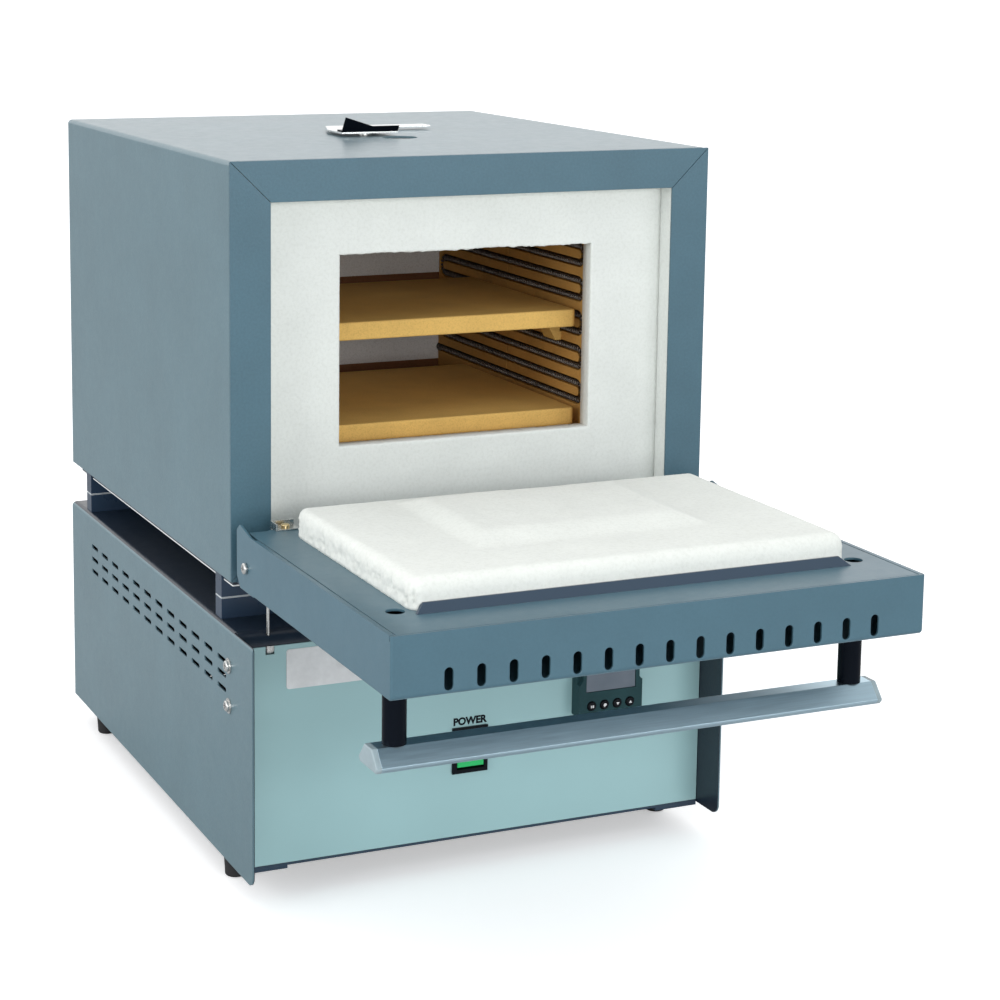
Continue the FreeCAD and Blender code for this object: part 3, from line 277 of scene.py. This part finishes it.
def paint(name, colour, rough=0.30, pebble_mm=1.1, depth=0.10, edge=0.5, zone=None, speckle=0.09):
    """Pebbled paint; zone holds a function that gives a 0 to 1 mask and the colour used there."""
    s = Surface(name)
    cloud = s.noise(60, 3, 0.6)
    speck = s.noise(1.6, 2, 0.5)
    base = s.ramp(cloud, [(0.3, tint(colour, 0.95)), (0.7, tint(colour, 1.05))])
    fine = s.ramp(speck, [(0.35, tint((1, 1, 1), 1 - speckle)), (0.65, (1.0, 1.0, 1.0))])
    if zone:
        base = s.mix(zone[0](s), base, zone[1])
    s.colour(s.mix(1.0, base, fine, "MULTIPLY"))
    s.roughness(s.noise(8, 4, 0.6), rough - 0.05, rough + 0.07)
    s.relief([(s.cells(pebble_mm), depth, 0.55), (s.noise(pebble_mm * 3, 2), depth * 0.8, 0.35)], edge)
    return s.material


def smooth_paint(name, colour, rough=0.25, zone=None, gloss=0.5):
    """Smooth paint, with the same kind of zone as paint has."""
    s = Surface(name)
    base = s.ramp(s.noise(90, 2, 0.5), [(0.3, tint(colour, 0.97)), (0.7, tint(colour, 1.03))])
    if zone:
        base = s.mix(zone[0](s), base, zone[1])
    s.colour(base)
    s.roughness(s.noise(12, 4, 0.6), rough - 0.04, rough + 0.05)
    s.relief([(s.noise(1.4, 2), 0.02, 0.35)], 0.5)
    s.set(Specular_IOR_Level=gloss)
    return s.material


def shaded_top_and_inner_faces(s):
    """Painted shade: the base's top sheet, painted dark for the casing's dark underside that it reflects,
    and the inner faces of its sides, painted dark for the shade on them.
    """
    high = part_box("base_wrap")[1]
    top = s.beyond("Z", high.z - 0.6 * MM)
    inner = s.math("SUBTRACT", 1.0, s.beyond("X", high.x - 1.0 * MM, True))
    return s.math("MAXIMUM", top, inner)


def bare_edge_and_highlight(s):
    """The bright strip along the bottom of the casing's pan: its bare cut edge, with a painted highlight on
    it.
    """
    return s.math("SUBTRACT", 1.0, s.beyond("Z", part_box("casing_pan")[0].z + 0.9 * MM))


def joint_highlight(s):
    """A painted highlight, for the light on the lower channels' rounded top edge: the bright line where the
    upper channels meet the lower ones.
    """
    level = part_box("upper_channels")[0].z
    above = s.beyond("Z", level - 0.6 * MM)
    below = s.math("SUBTRACT", 1.0, s.beyond("Z", level + 0.5 * MM))
    return s.math("MULTIPLY", above, below)


def fibre(name, colour, depth=0.5):
    """White ceramic fibre: patches, pores and short strands."""
    s = Surface(name)
    patch = s.noise(28, 4, 0.6)
    pore = s.noise(2.2, 5, 0.65)
    base = s.ramp(patch, [(0.3, tint(colour, 0.97)), (0.7, tint(colour, 1.02))])
    shade = s.ramp(pore, [(0.30, (0.90, 0.90, 0.89)), (0.55, (1.0, 1.0, 1.0))])
    s.colour(s.mix(0.8, base, shade, "MULTIPLY"))
    s.set(Roughness=0.95, Sheen_Weight=0.15, Sheen_Roughness=0.6, Specular_IOR_Level=0.15)
    strand = s.noise(1.1, 3, 0.7, s.stretched((1.0, 0.25, 1.0)), 1.5)
    s.relief([(s.noise(9, 3), depth * 1.6, 0.35), (pore, depth, 0.5), (strand, 0.25, 0.4)], 0.8)
    return s.material


def chamber_back(s):
    """The rear plate's grey face, and a dark brown strip of painted shade on it behind each ware plate."""
    plate_depth = 12.2 * MM
    strip_top, strip_bottom = 6 * MM, 18 * MM
    rear = s.beyond("Y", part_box("chamber_plates")[1].y - plate_depth)
    strips = []
    for node in ("upper_shelf", "hearth_plate"):
        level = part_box(node)[1].z
        under = s.math("SUBTRACT", 1.0, s.beyond("Z", level - strip_top))
        strips.append(s.math("MULTIPLY", under, s.beyond("Z", level - strip_bottom)))
    # The strips are painted shade, just below the level of each ware plate.
    shade_strips = s.math("MAXIMUM", *strips)
    grey = s.mix(shade_strips, (0.60, 0.59, 0.58), (0.16, 0.07, 0.03))
    return rear, grey


def refractory(name, colour, edge=0.9, dark=0.82, zone=None):
    """Sandy moulded refractory; zone holds a function that gives a mask and the colour used there."""
    s = Surface(name)
    cloud = s.noise(35, 4, 0.6)
    sand = s.noise(0.9, 3, 0.6)
    base = s.ramp(cloud, [(0.25, tint(colour, dark)), (0.5, colour), (0.8, tint(colour, 1.08))])
    if zone:
        mask, other = zone(s)
        base = s.mix(mask, base, other)
    grain = s.ramp(sand, [(0.30, (0.80, 0.78, 0.74)), (0.5, (1, 1, 1)), (0.74, (1.10, 1.08, 1.04))])
    s.colour(s.mix(0.8, base, grain, "MULTIPLY"))
    s.set(Roughness=0.88, Specular_IOR_Level=0.25)
    s.relief([(s.noise(12, 3), 0.4, 0.3), (sand, 0.16, 0.5)], edge)
    return s.material


def metal(name, colour, rough=0.28, streak=(1, 1, 1), edge=0.3):
    s = Surface(name)
    grain = s.noise(1.0, 3, 0.6, s.stretched(streak))
    s.colour(s.ramp(grain, [(0.3, tint(colour, 0.92)), (0.7, tint(colour, 1.05))]))
    s.set(Metallic=1.0)
    s.roughness(grain, rough - 0.06, rough + 0.10)
    s.relief([(grain, 0.02, 0.3)], edge)
    return s.material


def plastic(name, colour, rough=0.4, depth=0.03, edge=0.3, grain_mm=0.6, gloss=0.5):
    s = Surface(name)
    s.set(Specular_IOR_Level=gloss)
    cloud = s.noise(14, 3, 0.6)
    s.colour(s.ramp(cloud, [(0.3, tint(colour, 0.9)), (0.7, tint(colour, 1.1))]))
    s.roughness(s.noise(3, 3), rough - 0.05, rough + 0.08)
    s.relief([(s.noise(grain_mm, 2), depth, 0.5)], edge)
    return s.material


def oxide_wire(name):
    s = Surface(name)
    grain = s.noise(2.5, 4, 0.7)
    stops = [(0.3, (0.10, 0.085, 0.075)), (0.55, (0.20, 0.18, 0.165)), (0.8, (0.42, 0.40, 0.37))]
    s.colour(s.ramp(grain, stops))
    s.set(Metallic=1.0)
    s.roughness(grain, 0.28, 0.5)
    s.relief([(s.noise(0.4, 3), 0.03, 0.5)])
    return s.material


def screen(name):
    s = Surface(name)
    cloud = s.noise(20, 2)
    s.colour(s.ramp(cloud, [(0.3, (0.085, 0.115, 0.150)), (0.7, (0.120, 0.150, 0.190))]))
    s.set(Coat_Weight=1.0, Coat_Roughness=0.03)
    s.roughness(s.noise(5, 2), 0.10, 0.16)
    s.relief([(s.noise(30, 1), 0.02, 0.2)])
    return s.material


def lens(name, colour, glow):
    s = Surface(name)
    lines = s.noise(1.2, 2, 0.5, s.stretched((1, 1, 6)))
    s.colour(s.ramp(lines, [(0.3, tint(colour, 0.85)), (0.7, tint(colour, 1.15))]))
    s.set(Emission_Color=(*colour, 1), Emission_Strength=glow, Coat_Weight=0.5, Coat_Roughness=0.1)
    s.roughness(s.noise(3, 2), 0.18, 0.28)
    s.relief([(lines, 0.04, 0.3)], 0.4)
    return s.material


def floor_surface(name):
    """A floor that is near white to the camera and throws less light back up than it shows."""
    s = Surface(name)
    s.colour(s.ramp(s.noise(400, 2), [(0.3, (0.93, 0.93, 0.93)), (0.7, (0.95, 0.95, 0.95))]))
    s.set(Roughness=0.8, Emission_Color=(1, 1, 1, 1), Emission_Strength=0.36, Specular_IOR_Level=0.1)
    dim = s.add("ShaderNodeBsdfDiffuse")
    dim.inputs["Color"].default_value = (0.55, 0.56, 0.57, 1)
    choose = s.add("ShaderNodeMixShader")
    s.link(s.add("ShaderNodeLightPath").outputs["Is Camera Ray"], choose.inputs[0])
    s.link(dim.outputs[0], choose.inputs[1])
    s.link(s.shader.outputs[0], choose.inputs[2])
    s.link(choose.outputs[0], s.tree.nodes["Material Output"].inputs["Surface"])
    return s.material


CASING = (0.110, 0.188, 0.222)
TRIM = (0.062, 0.138, 0.182)
# This dark navy is painted shade, for the base's top and inner faces and for the casing's pan under the
# casing.
PAINTED_SHADE_NAVY = (0.010, 0.018, 0.032)
# This light grey is a painted highlight along the joint of the channels.
JOINT_HIGHLIGHT = (0.62, 0.66, 0.68)
MATERIALS = {
    "casing": paint("casing_paint", CASING),
    # The base's top and the inner faces of its sides get the dark navy as painted shade.
    "base": paint("base_paint", CASING, zone=(shaded_top_and_inner_faces, PAINTED_SHADE_NAVY)),
    "trim": paint("trim_paint", TRIM, 0.34, 1.0, 0.07),
    "door": paint("door_paint", TRIM, 0.32, 0.9, 0.04, 0.6, speckle=0.04),
    "panel": smooth_paint("panel_paint", (0.36, 0.565, 0.58), 0.22),
    # The channels get a painted highlight along the joint of the upper and lower ones.
    "channel": smooth_paint("channel_paint", (0.024, 0.045, 0.080), 0.28, (joint_highlight, JOINT_HIGHLIGHT), 0.35),
    # The pan is painted dark navy as painted shade in the recess under the casing; its bright lower strip
    # is the bare cut edge with a painted highlight.
    "pan": smooth_paint("pan_paint", PAINTED_SHADE_NAVY, 0.35, (bare_edge_and_highlight, (0.85, 0.86, 0.86))),
    "navy": smooth_paint("navy_paint", (0.026, 0.050, 0.082), 0.30),
    "steel": metal("plain_steel", (0.70, 0.72, 0.72), 0.26, (1, 0.06, 1)),
    "zinc": metal("zinc_plate", (0.62, 0.62, 0.60), 0.24),
    "brass": metal("brass", (0.72, 0.56, 0.30), 0.28),
    "aluminium": metal("satin_bar", (0.46, 0.61, 0.69), 0.34, (0.03, 1, 1), 0.4),
    "board": fibre("fibre_board", (0.71, 0.735, 0.705)),
    "block": fibre("fibre_block", (0.79, 0.81, 0.765), 0.35),
    "wall": refractory("wall_refractory", (0.56, 0.31, 0.085)),
    "chamber": refractory("chamber_refractory", (0.42, 0.24, 0.08), zone=chamber_back),
    "shelf": refractory("shelf_refractory", (0.66, 0.42, 0.125), 1.2, 0.9),
    "coil": oxide_wire("oxide_wire"),
    "porcelain": plastic("porcelain", (0.80, 0.78, 0.70), 0.2, 0.02, 0.5, 2.0),
    "flue": refractory("flue_tube", (0.12, 0.10, 0.09)),
    "black": plastic("black_plastic", (0.006, 0.007, 0.010), 0.32, gloss=0.12),
    "post": smooth_paint("post_paint", (0.004, 0.006, 0.010), 0.20, gloss=0.05),
    "controller": plastic("controller_case", (0.022, 0.060, 0.066), 0.38, gloss=0.12),
    "cap": plastic("end_cap", (0.30, 0.38, 0.41), 0.35),
    "screen": screen("display"),
    "green": lens("green_lens", (0.010, 0.36, 0.095), 0.35),
    "rubber": plastic("foot_rubber", (0.014, 0.014, 0.015), 0.6, 0.06, 0.8, 1.0),
    "ink": plastic("printed_ink", (0.006, 0.008, 0.012), 0.6, 0.01, gloss=0.1),
    "white_ink": plastic("white_ink", (0.80, 0.80, 0.80), 0.4, 0.01),
    "label": plastic("label_stock", (0.78, 0.79, 0.79), 0.3, 0.01, 0.2, 3.0),
    "floor": floor_surface("floor"),
}

NODE_FINISH = {
    "casing": ["casing_wrap", "casing_back", "terminal_cover", "base_back"],
    "base": ["base_wrap"],
    "trim": ["face_frame"],
    "door": ["door_shell", "door_inner_plate"],
    "channel": ["upper_channels", "lower_channels"],
    "pan": ["casing_pan"],
    "navy": ["block_front_strip", "hinge_brackets", "foot_plates", "base_floor"],
    "panel": ["front_panel"],
    "steel": ["vent_cover", "thermocouple"],
    "zinc": [
        "panel_screws", "hinge_pins", "interlock_actuator", "interlock_rod", "rod_bush",
        "terminal_studs", "vent_pivot_screw", "lead_conduit",
    ],
    "brass": ["door_screws"],
    "aluminium": ["handle_bar", "relay_and_heat_sink"],
    "board": ["insulation_sides", "insulation_top", "insulation_bottom", "insulation_back", "front_board"],
    "block": ["door_insulation"],
    "wall": ["element_plates"],
    "chamber": ["chamber_plates"],
    "shelf": ["upper_shelf", "hearth_plate", "shelf_lugs"],
    "coil": ["heating_coils"],
    "porcelain": ["terminal_bushes"],
    "flue": ["vent_tube"],
    "black": [
        "switch_housing", "terminal_block", "interlock_switch", "cord_gland",
        "controller_button_1", "controller_button_2", "controller_button_3", "controller_button_4",
    ],
    "post": ["handle_standoffs", "vent_cover_tab"],
    "controller": ["controller_bezel", "controller_case"],
    "cap": ["handle_end_caps"],
    "screen": ["controller_window"],
    "green": ["power_rocker"],
    "rubber": ["rubber_feet"],
    "label": ["label_plate"],
}


def finish_nodes():
    for finish, names in NODE_FINISH.items():
        for name in names:
            for slot in nodes[name].material_slots:
                slot.material = MATERIALS[finish]


def add_piece(name, data, finish, body, smooth=True):
    """Puts a mesh, or with smooth off a curve, into the scene on one of the bodies."""
    piece = bpy.data.objects.new(name, data)
    bpy.context.scene.collection.objects.link(piece)
    data.materials.append(MATERIALS[finish])
    if smooth:
        data.polygons.foreach_set("use_smooth", [True] * len(data.polygons))
    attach(piece, body)
    return piece


# ---- the door's fibre block ----------------------------------------------------------------------
def smoothstep(value, low, high):
    t = min(1.0, max(0.0, (value - low) / (high - low)))
    return t * t * (3 - 2 * t)


def spaced(low, high, step, edge):
    """Places from low to high, closer together within edge of either end."""
    edge_steps = 8
    places = [low + edge * k / edge_steps for k in range(edge_steps)]
    count = max(2, round((high - low - 2 * edge) / step))
    places += [low + edge + (high - low - 2 * edge) * k / count for k in range(count + 1)]
    places += [high - edge * (edge_steps - 1 - k) / edge_steps for k in range(edge_steps)]
    return places


def fibre_block():
    """A grid for the top with a raised centre, rings for the sides, then the roughness of fibre."""
    low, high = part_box("door_insulation")
    base = low.z + 0.05 * MM
    rise = 5.0 * MM                   # how far the raised centre stands up
    top = high.z - rise
    round_r = 8.0 * MM
    grid_step = 1.7 * MM
    rim_blend = 14 * MM               # the raised centre fades out this close to the rim
    xs = spaced(low.x, high.x, grid_step, round_r)
    ys = spaced(low.y, high.y, grid_step, round_r)
    middle_x, middle_y = (low.x + high.x) / 2, (low.y + high.y) / 2
    half_low, half_high = 81 * MM, 63 * MM
    front_low, front_high = low.y + 45 * MM, low.y + 76 * MM
    rear_low, rear_high = high.y - 9 * MM, high.y - 28 * MM
    sides = 7

    def crown(x, y):
        across = smoothstep(half_low - abs(x - middle_x), 0, half_low - half_high)
        ahead = smoothstep(y, front_low, front_high)
        behind = smoothstep(rear_low - y, 0, rear_low - rear_high)
        lift = rise * min(across, ahead, behind)
        swell = noise.noise(Vector((x, y, 0)) * 18) * 0.5 * MM
        return lift + swell

    def edge_radius(x, y):
        return round_r if y < middle_y or x > middle_x else round_r * 0.75

    def drop(distance, radius):
        if distance >= radius:
            return 0.0
        return radius - math.sqrt(max(0.0, radius * radius - (radius - distance) ** 2))

    def plan(x, y):
        """Rounds the outline's corners."""
        centre_x = high.x - round_r if x > middle_x else low.x + round_r
        front = y < middle_y
        centre_y = low.y + round_r if front else high.y - round_r
        out_x = (x - centre_x) * (1 if x > middle_x else -1)
        out_y = (centre_y - y) * (1 if front else -1)
        if out_x <= 0 or out_y <= 0:
            return x, y
        scale = max(out_x, out_y) / math.hypot(out_x, out_y)
        return centre_x + (x - centre_x) * scale, centre_y + (y - centre_y) * scale

    bm = bmesh.new()
    grid = []
    for y in ys:
        row = []
        for x in xs:
            px, py = plan(x, y)
            distance = min(x - low.x, high.x - x, y - low.y, high.y - y)
            z = top - drop(distance, edge_radius(x, y)) + crown(px, py) * smoothstep(distance, 0, rim_blend)
            row.append(bm.verts.new((px, py, z)))
        grid.append(row)
    for j in range(len(ys) - 1):
        for i in range(len(xs) - 1):
            bm.faces.new((grid[j][i], grid[j][i + 1], grid[j + 1][i + 1], grid[j + 1][i]))
    rim = [grid[0][i] for i in range(len(xs))]
    rim += [grid[j][-1] for j in range(1, len(ys))]
    rim += [grid[-1][i] for i in range(len(xs) - 2, -1, -1)]
    rim += [grid[j][0] for j in range(len(ys) - 2, 0, -1)]
    rings = [rim]
    for level in range(1, sides + 1):
        ring = []
        for vertex in rim:
            z = vertex.co.z + (base - vertex.co.z) * level / sides
            ring.append(bm.verts.new((vertex.co.x, vertex.co.y, z)))
        rings.append(ring)
    for upper, lower in zip(rings, rings[1:]):
        for k in range(len(upper)):
            n = (k + 1) % len(upper)
            bm.faces.new((upper[n], upper[k], lower[k], lower[n]))
    bm.faces.new(list(reversed(rings[-1])))
    bm.normal_update()

    for vertex in bm.verts:
        p = vertex.co
        if p.z <= base + 0.01 * MM:
            torn = smoothstep(low.x + 4 * MM - p.x, 0, 3 * MM)
            if torn:
                wobble = noise.noise(p * 220) * 0.5 * MM
                vertex.co += Vector((abs(wobble) * 1.5 + 0.4 * MM * torn, 0, 0))
            continue
        torn = smoothstep(low.x + 8 * MM - p.x, 0, 7 * MM)
        side = 1 - abs(vertex.normal.z)
        coarse = noise.fractal(p * 170, 1.0, 2.0, 4)
        fine = noise.noise(p * 700)
        amount = 0.12 * MM * fine + 0.20 * MM * coarse
        tuft = noise.fractal(p * 420, 0.8, 2.1, 3)
        inward = -(abs(coarse) * 2.4 + abs(tuft) * 1.1) * MM * torn * side
        vertex.co += vertex.normal * (amount * (1 - 0.6 * (1 - side)) + inward)
        vertex.co.x = min(high.x, max(low.x, vertex.co.x))
        vertex.co.y = min(high.y, max(low.y, vertex.co.y))
        vertex.co.z = max(base, vertex.co.z)
    mesh = bpy.data.meshes.new("fibre_block")
    bm.to_mesh(mesh)
    bm.free()
    piece = add_piece("fibre_block", mesh, "block", "door")
    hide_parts("door_insulation")


# ---- the white board round the chamber's opening -------------------------------------------------
def front_board():
    """Rings that run out from the window's rear edge, over its lip, to the board's outer edge."""
    low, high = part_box("front_board")
    window_half = 90.4 * MM
    window_low, window_high = 53.4 * MM, 178.5 * MM
    inner = (-window_half, window_half, low.z + window_low, low.z + window_high)
    outer = (low.x, high.x, low.z, high.z)
    front, rear = low.y, high.y
    per_side = 110
    steps = 22
    ragged_rings = 6                  # the window's wall and lip
    wall_rings = 4                    # those that stay at their own depth

    def outline(frame_box, k, side):
        left, right, bottom, top = frame_box
        t = k / per_side
        if side == 0:
            return left + (right - left) * t, bottom
        if side == 1:
            return right, bottom + (top - bottom) * t
        if side == 2:
            return right + (left - right) * t, top
        return left, top + (bottom - top) * t

    bm = bmesh.new()
    rings = []
    profile = [(0.0, rear), (0.0, rear - (rear - front) * 0.5), (0.0, front + 1.2 * MM)]
    profile += [(0.35 * MM, front + 0.35 * MM), (1.2 * MM, front)]
    for inset, y in profile:
        ring = []
        for side in range(4):
            for k in range(per_side):
                x, z = outline(inner, k, side)
                ox, oz = outline(outer, k, side)
                reach = math.hypot(ox - x, oz - z)
                x += (ox - x) / reach * inset
                z += (oz - z) / reach * inset
                ring.append([x, y, z, side])
        rings.append(ring)
    for step in range(1, steps + 1):
        t = step / steps
        ring = []
        for side in range(4):
            for k in range(per_side):
                x, z = outline(inner, k, side)
                ox, oz = outline(outer, k, side)
                ring.append([x + (ox - x) * t, front, z + (oz - z) * t, side])
        rings.append(ring)
    count = 4 * per_side
    made = []
    for index, ring in enumerate(rings):
        row = []
        for x, y, z, side in ring:
            p = Vector((x, y, z))
            if index < ragged_rings:
                ragged = noise.fractal(p * 190, 1.0, 2.0, 4) * (1.1 if side == 2 else 0.45) * MM
                sag = noise.noise(Vector((x * 22, 3.0, z * 22))) * 0.5 * MM
                if side in (0, 2):
                    p.z += -abs(ragged) + sag if side == 2 else min(0, ragged)
                else:
                    p.x += abs(ragged) * 0.3 * (1 if side == 1 else -1)
            if index >= wall_rings:
                swell = noise.noise(p * 60) * 0.22 * MM + noise.noise(p * 350) * 0.10 * MM
                p.y += max(-0.1 * MM, swell)
            row.append(bm.verts.new(p))
        made.append(row)
    for a, b in zip(made, made[1:]):
        for k in range(count):
            n = (k + 1) % count
            bm.faces.new((a[k], b[k], b[n], a[n]))
    outer_rear = [bm.verts.new((v.co.x, rear, v.co.z)) for v in made[-1]]
    for k in range(count):
        n = (k + 1) % count
        bm.faces.new((made[-1][k], outer_rear[k], outer_rear[n], made[-1][n]))
        bm.faces.new((outer_rear[k], made[0][k], made[0][n], outer_rear[n]))
    bmesh.ops.recalc_face_normals(bm, faces=bm.faces)
    mesh = bpy.data.meshes.new("chamber_front")
    bm.to_mesh(mesh)
    bm.free()
    piece = add_piece("chamber_front", mesh, "board", "furnace")
    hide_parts("front_board")


# ---- heating coils -------------------------------------------------------------------------------
def coil_centre_line(low, high, x, radius):
    """Up and down a side wall in level runs; the first and the last run on to the rear as leads."""
    runs = 10
    run_length = 223 * MM
    top, bottom = high.z - radius, low.z + radius
    pitch = (top - bottom) / (runs - 1)
    front = low.y + radius + pitch / 2
    rear = front + run_length
    points = []
    bend = 10
    for run in range(runs):
        z = top - run * pitch
        tail = high.y if run in (0, runs - 1) else rear
        ends = (tail, front) if run % 2 == 0 else (front, tail)
        points += [Vector((x, ends[0], z)), Vector((x, ends[1], z))]
        if run < runs - 1:
            outward = -1 if run % 2 == 0 else 1
            for k in range(1, bend):
                angle = math.pi * k / bend
                y = ends[1] + outward * math.sin(angle) * pitch / 2
                points.append(Vector((x, y, z - pitch / 2 + math.cos(angle) * pitch / 2)))
    return points


def wound_wire(path, radius, turn, samples):
    """Points of a helix wound round a path that lies in a plane of constant X."""
    spiral = []
    travelled = 0.0
    step = turn / samples
    across = Vector((1, 0, 0))
    for a, b in zip(path, path[1:]):
        length = (b - a).length
        if length < 1e-9:
            continue
        along = (b - a) / length
        upright = along.cross(across)
        while travelled < length:
            angle = 2 * math.pi * len(spiral) / samples
            offset = across * math.cos(angle) + upright * math.sin(angle)
            spiral.append(a + along * travelled + offset * radius)
            travelled += step
        travelled -= length
    return spiral


def heating_coils():
    low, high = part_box("heating_coils")
    outside = 2.5 * MM                # radius of the wound coil
    wire = 0.62 * MM                  # radius of the wire
    turn = 2.9 * MM                   # from one turn to the next
    samples = 12
    pieces = []
    for side, name in ((-1, "left"), (1, "right")):
        path = coil_centre_line(low, high, side * (high.x - outside), outside)
        points = wound_wire(path, outside - wire, turn, samples)
        data = bpy.data.curves.new("coil_" + name, "CURVE")
        data.dimensions = "3D"
        data.bevel_depth = wire
        data.bevel_resolution = 1
        spline = data.splines.new("POLY")
        spline.points.add(len(points) - 1)
        spline.points.foreach_set("co", [value for p in points for value in (*p, 1.0)])
        coil = add_piece("coil_" + name, data, "coil", "furnace", False)
        pieces.append(coil)
    for coil in pieces:
        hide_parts("heating_coils")


# ---- lettering and small marks -------------------------------------------------------------------
def lettering(name, text, width, centre, finish, body, weight):
    """Flat text that faces -Y, scaled to a width."""
    data = bpy.data.curves.new(name, "FONT")
    data.body = text
    data.align_x, data.align_y = "CENTER", "CENTER"
    data.extrude = 0.0
    data.offset = weight
    piece = bpy.data.objects.new(name, data)
    bpy.context.scene.collection.objects.link(piece)
    bpy.context.view_layer.update()
    scale = Matrix.Scale(width / piece.dimensions.x, 4)
    piece.matrix_world = Matrix.Translation(centre) @ Matrix.Rotation(math.pi / 2, 4, "X") @ scale
    data.materials.append(MATERIALS[finish])
    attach(piece, body)


def flat_shape(bm, points, y):
    """A thin solid that stands off the face at y, with its outline given in X and Z."""
    thick = 0.08 * MM
    face = bm.faces.new([bm.verts.new((x, y, z)) for x, z in points])
    made = bmesh.ops.extrude_face_region(bm, geom=[face])
    moved = [item for item in made["geom"] if isinstance(item, bmesh.types.BMVert)]
    bmesh.ops.translate(bm, vec=(0, -thick, 0), verts=moved)


def button_marks():
    """Two bars, part of a disc and two triangles, in mm from each button's middle."""
    shapes = {
        1: [
            [(-1.2, -0.9), (-1.2, 0.9), (-0.5, 0.9), (-0.5, -0.9)],
            [(0, -0.9), (0, 0.9), (1.2, 0.9), (1.2, -0.9)],
        ],
        2: [[(math.cos(a) * 1.3, math.sin(a) * 1.3) for a in (k * math.pi / 5 for k in range(8))]],
        3: [[(-1.2, 0.8), (1.2, 0.8), (0, -1.1)]],
        4: [[(-1.2, -0.8), (0, 1.1), (1.2, -0.8)]],
    }
    for number, outlines in shapes.items():
        node = "controller_button_%d" % number
        low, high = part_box(node)
        x, z = (low.x + high.x) / 2, (low.z + high.z) / 2
        bm = bmesh.new()
        for outline in outlines:
            flat_shape(bm, [(x + a * MM, z + b * MM) for a, b in outline], low.y - 0.01 * MM)
        bmesh.ops.recalc_face_normals(bm, faces=bm.faces)
        mesh = bpy.data.meshes.new("button_mark_%d" % number)
        bm.to_mesh(mesh)
        bm.free()
        piece = add_piece("button_mark_%d" % number, mesh, "white_ink", node, False)


def panel_lettering():
    """The one word on the front panel, above the switch."""
    panel_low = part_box("front_panel")[0]
    switch_low, switch_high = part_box("switch_housing")
    middle = (switch_low.x + switch_high.x) / 2
    place = Vector((middle, panel_low.y - 0.06 * MM, switch_high.z + 3.7 * MM))
    lettering("power_word", "POWER", 24.6 * MM, place, "ink", "furnace", 0.05)


make_camera()
finish_nodes()
fibre_block()
front_board()
heating_coils()
button_marks()
panel_lettering()
make_floor()
make_light()
bpy.context.scene.view_settings.view_transform = "Standard"
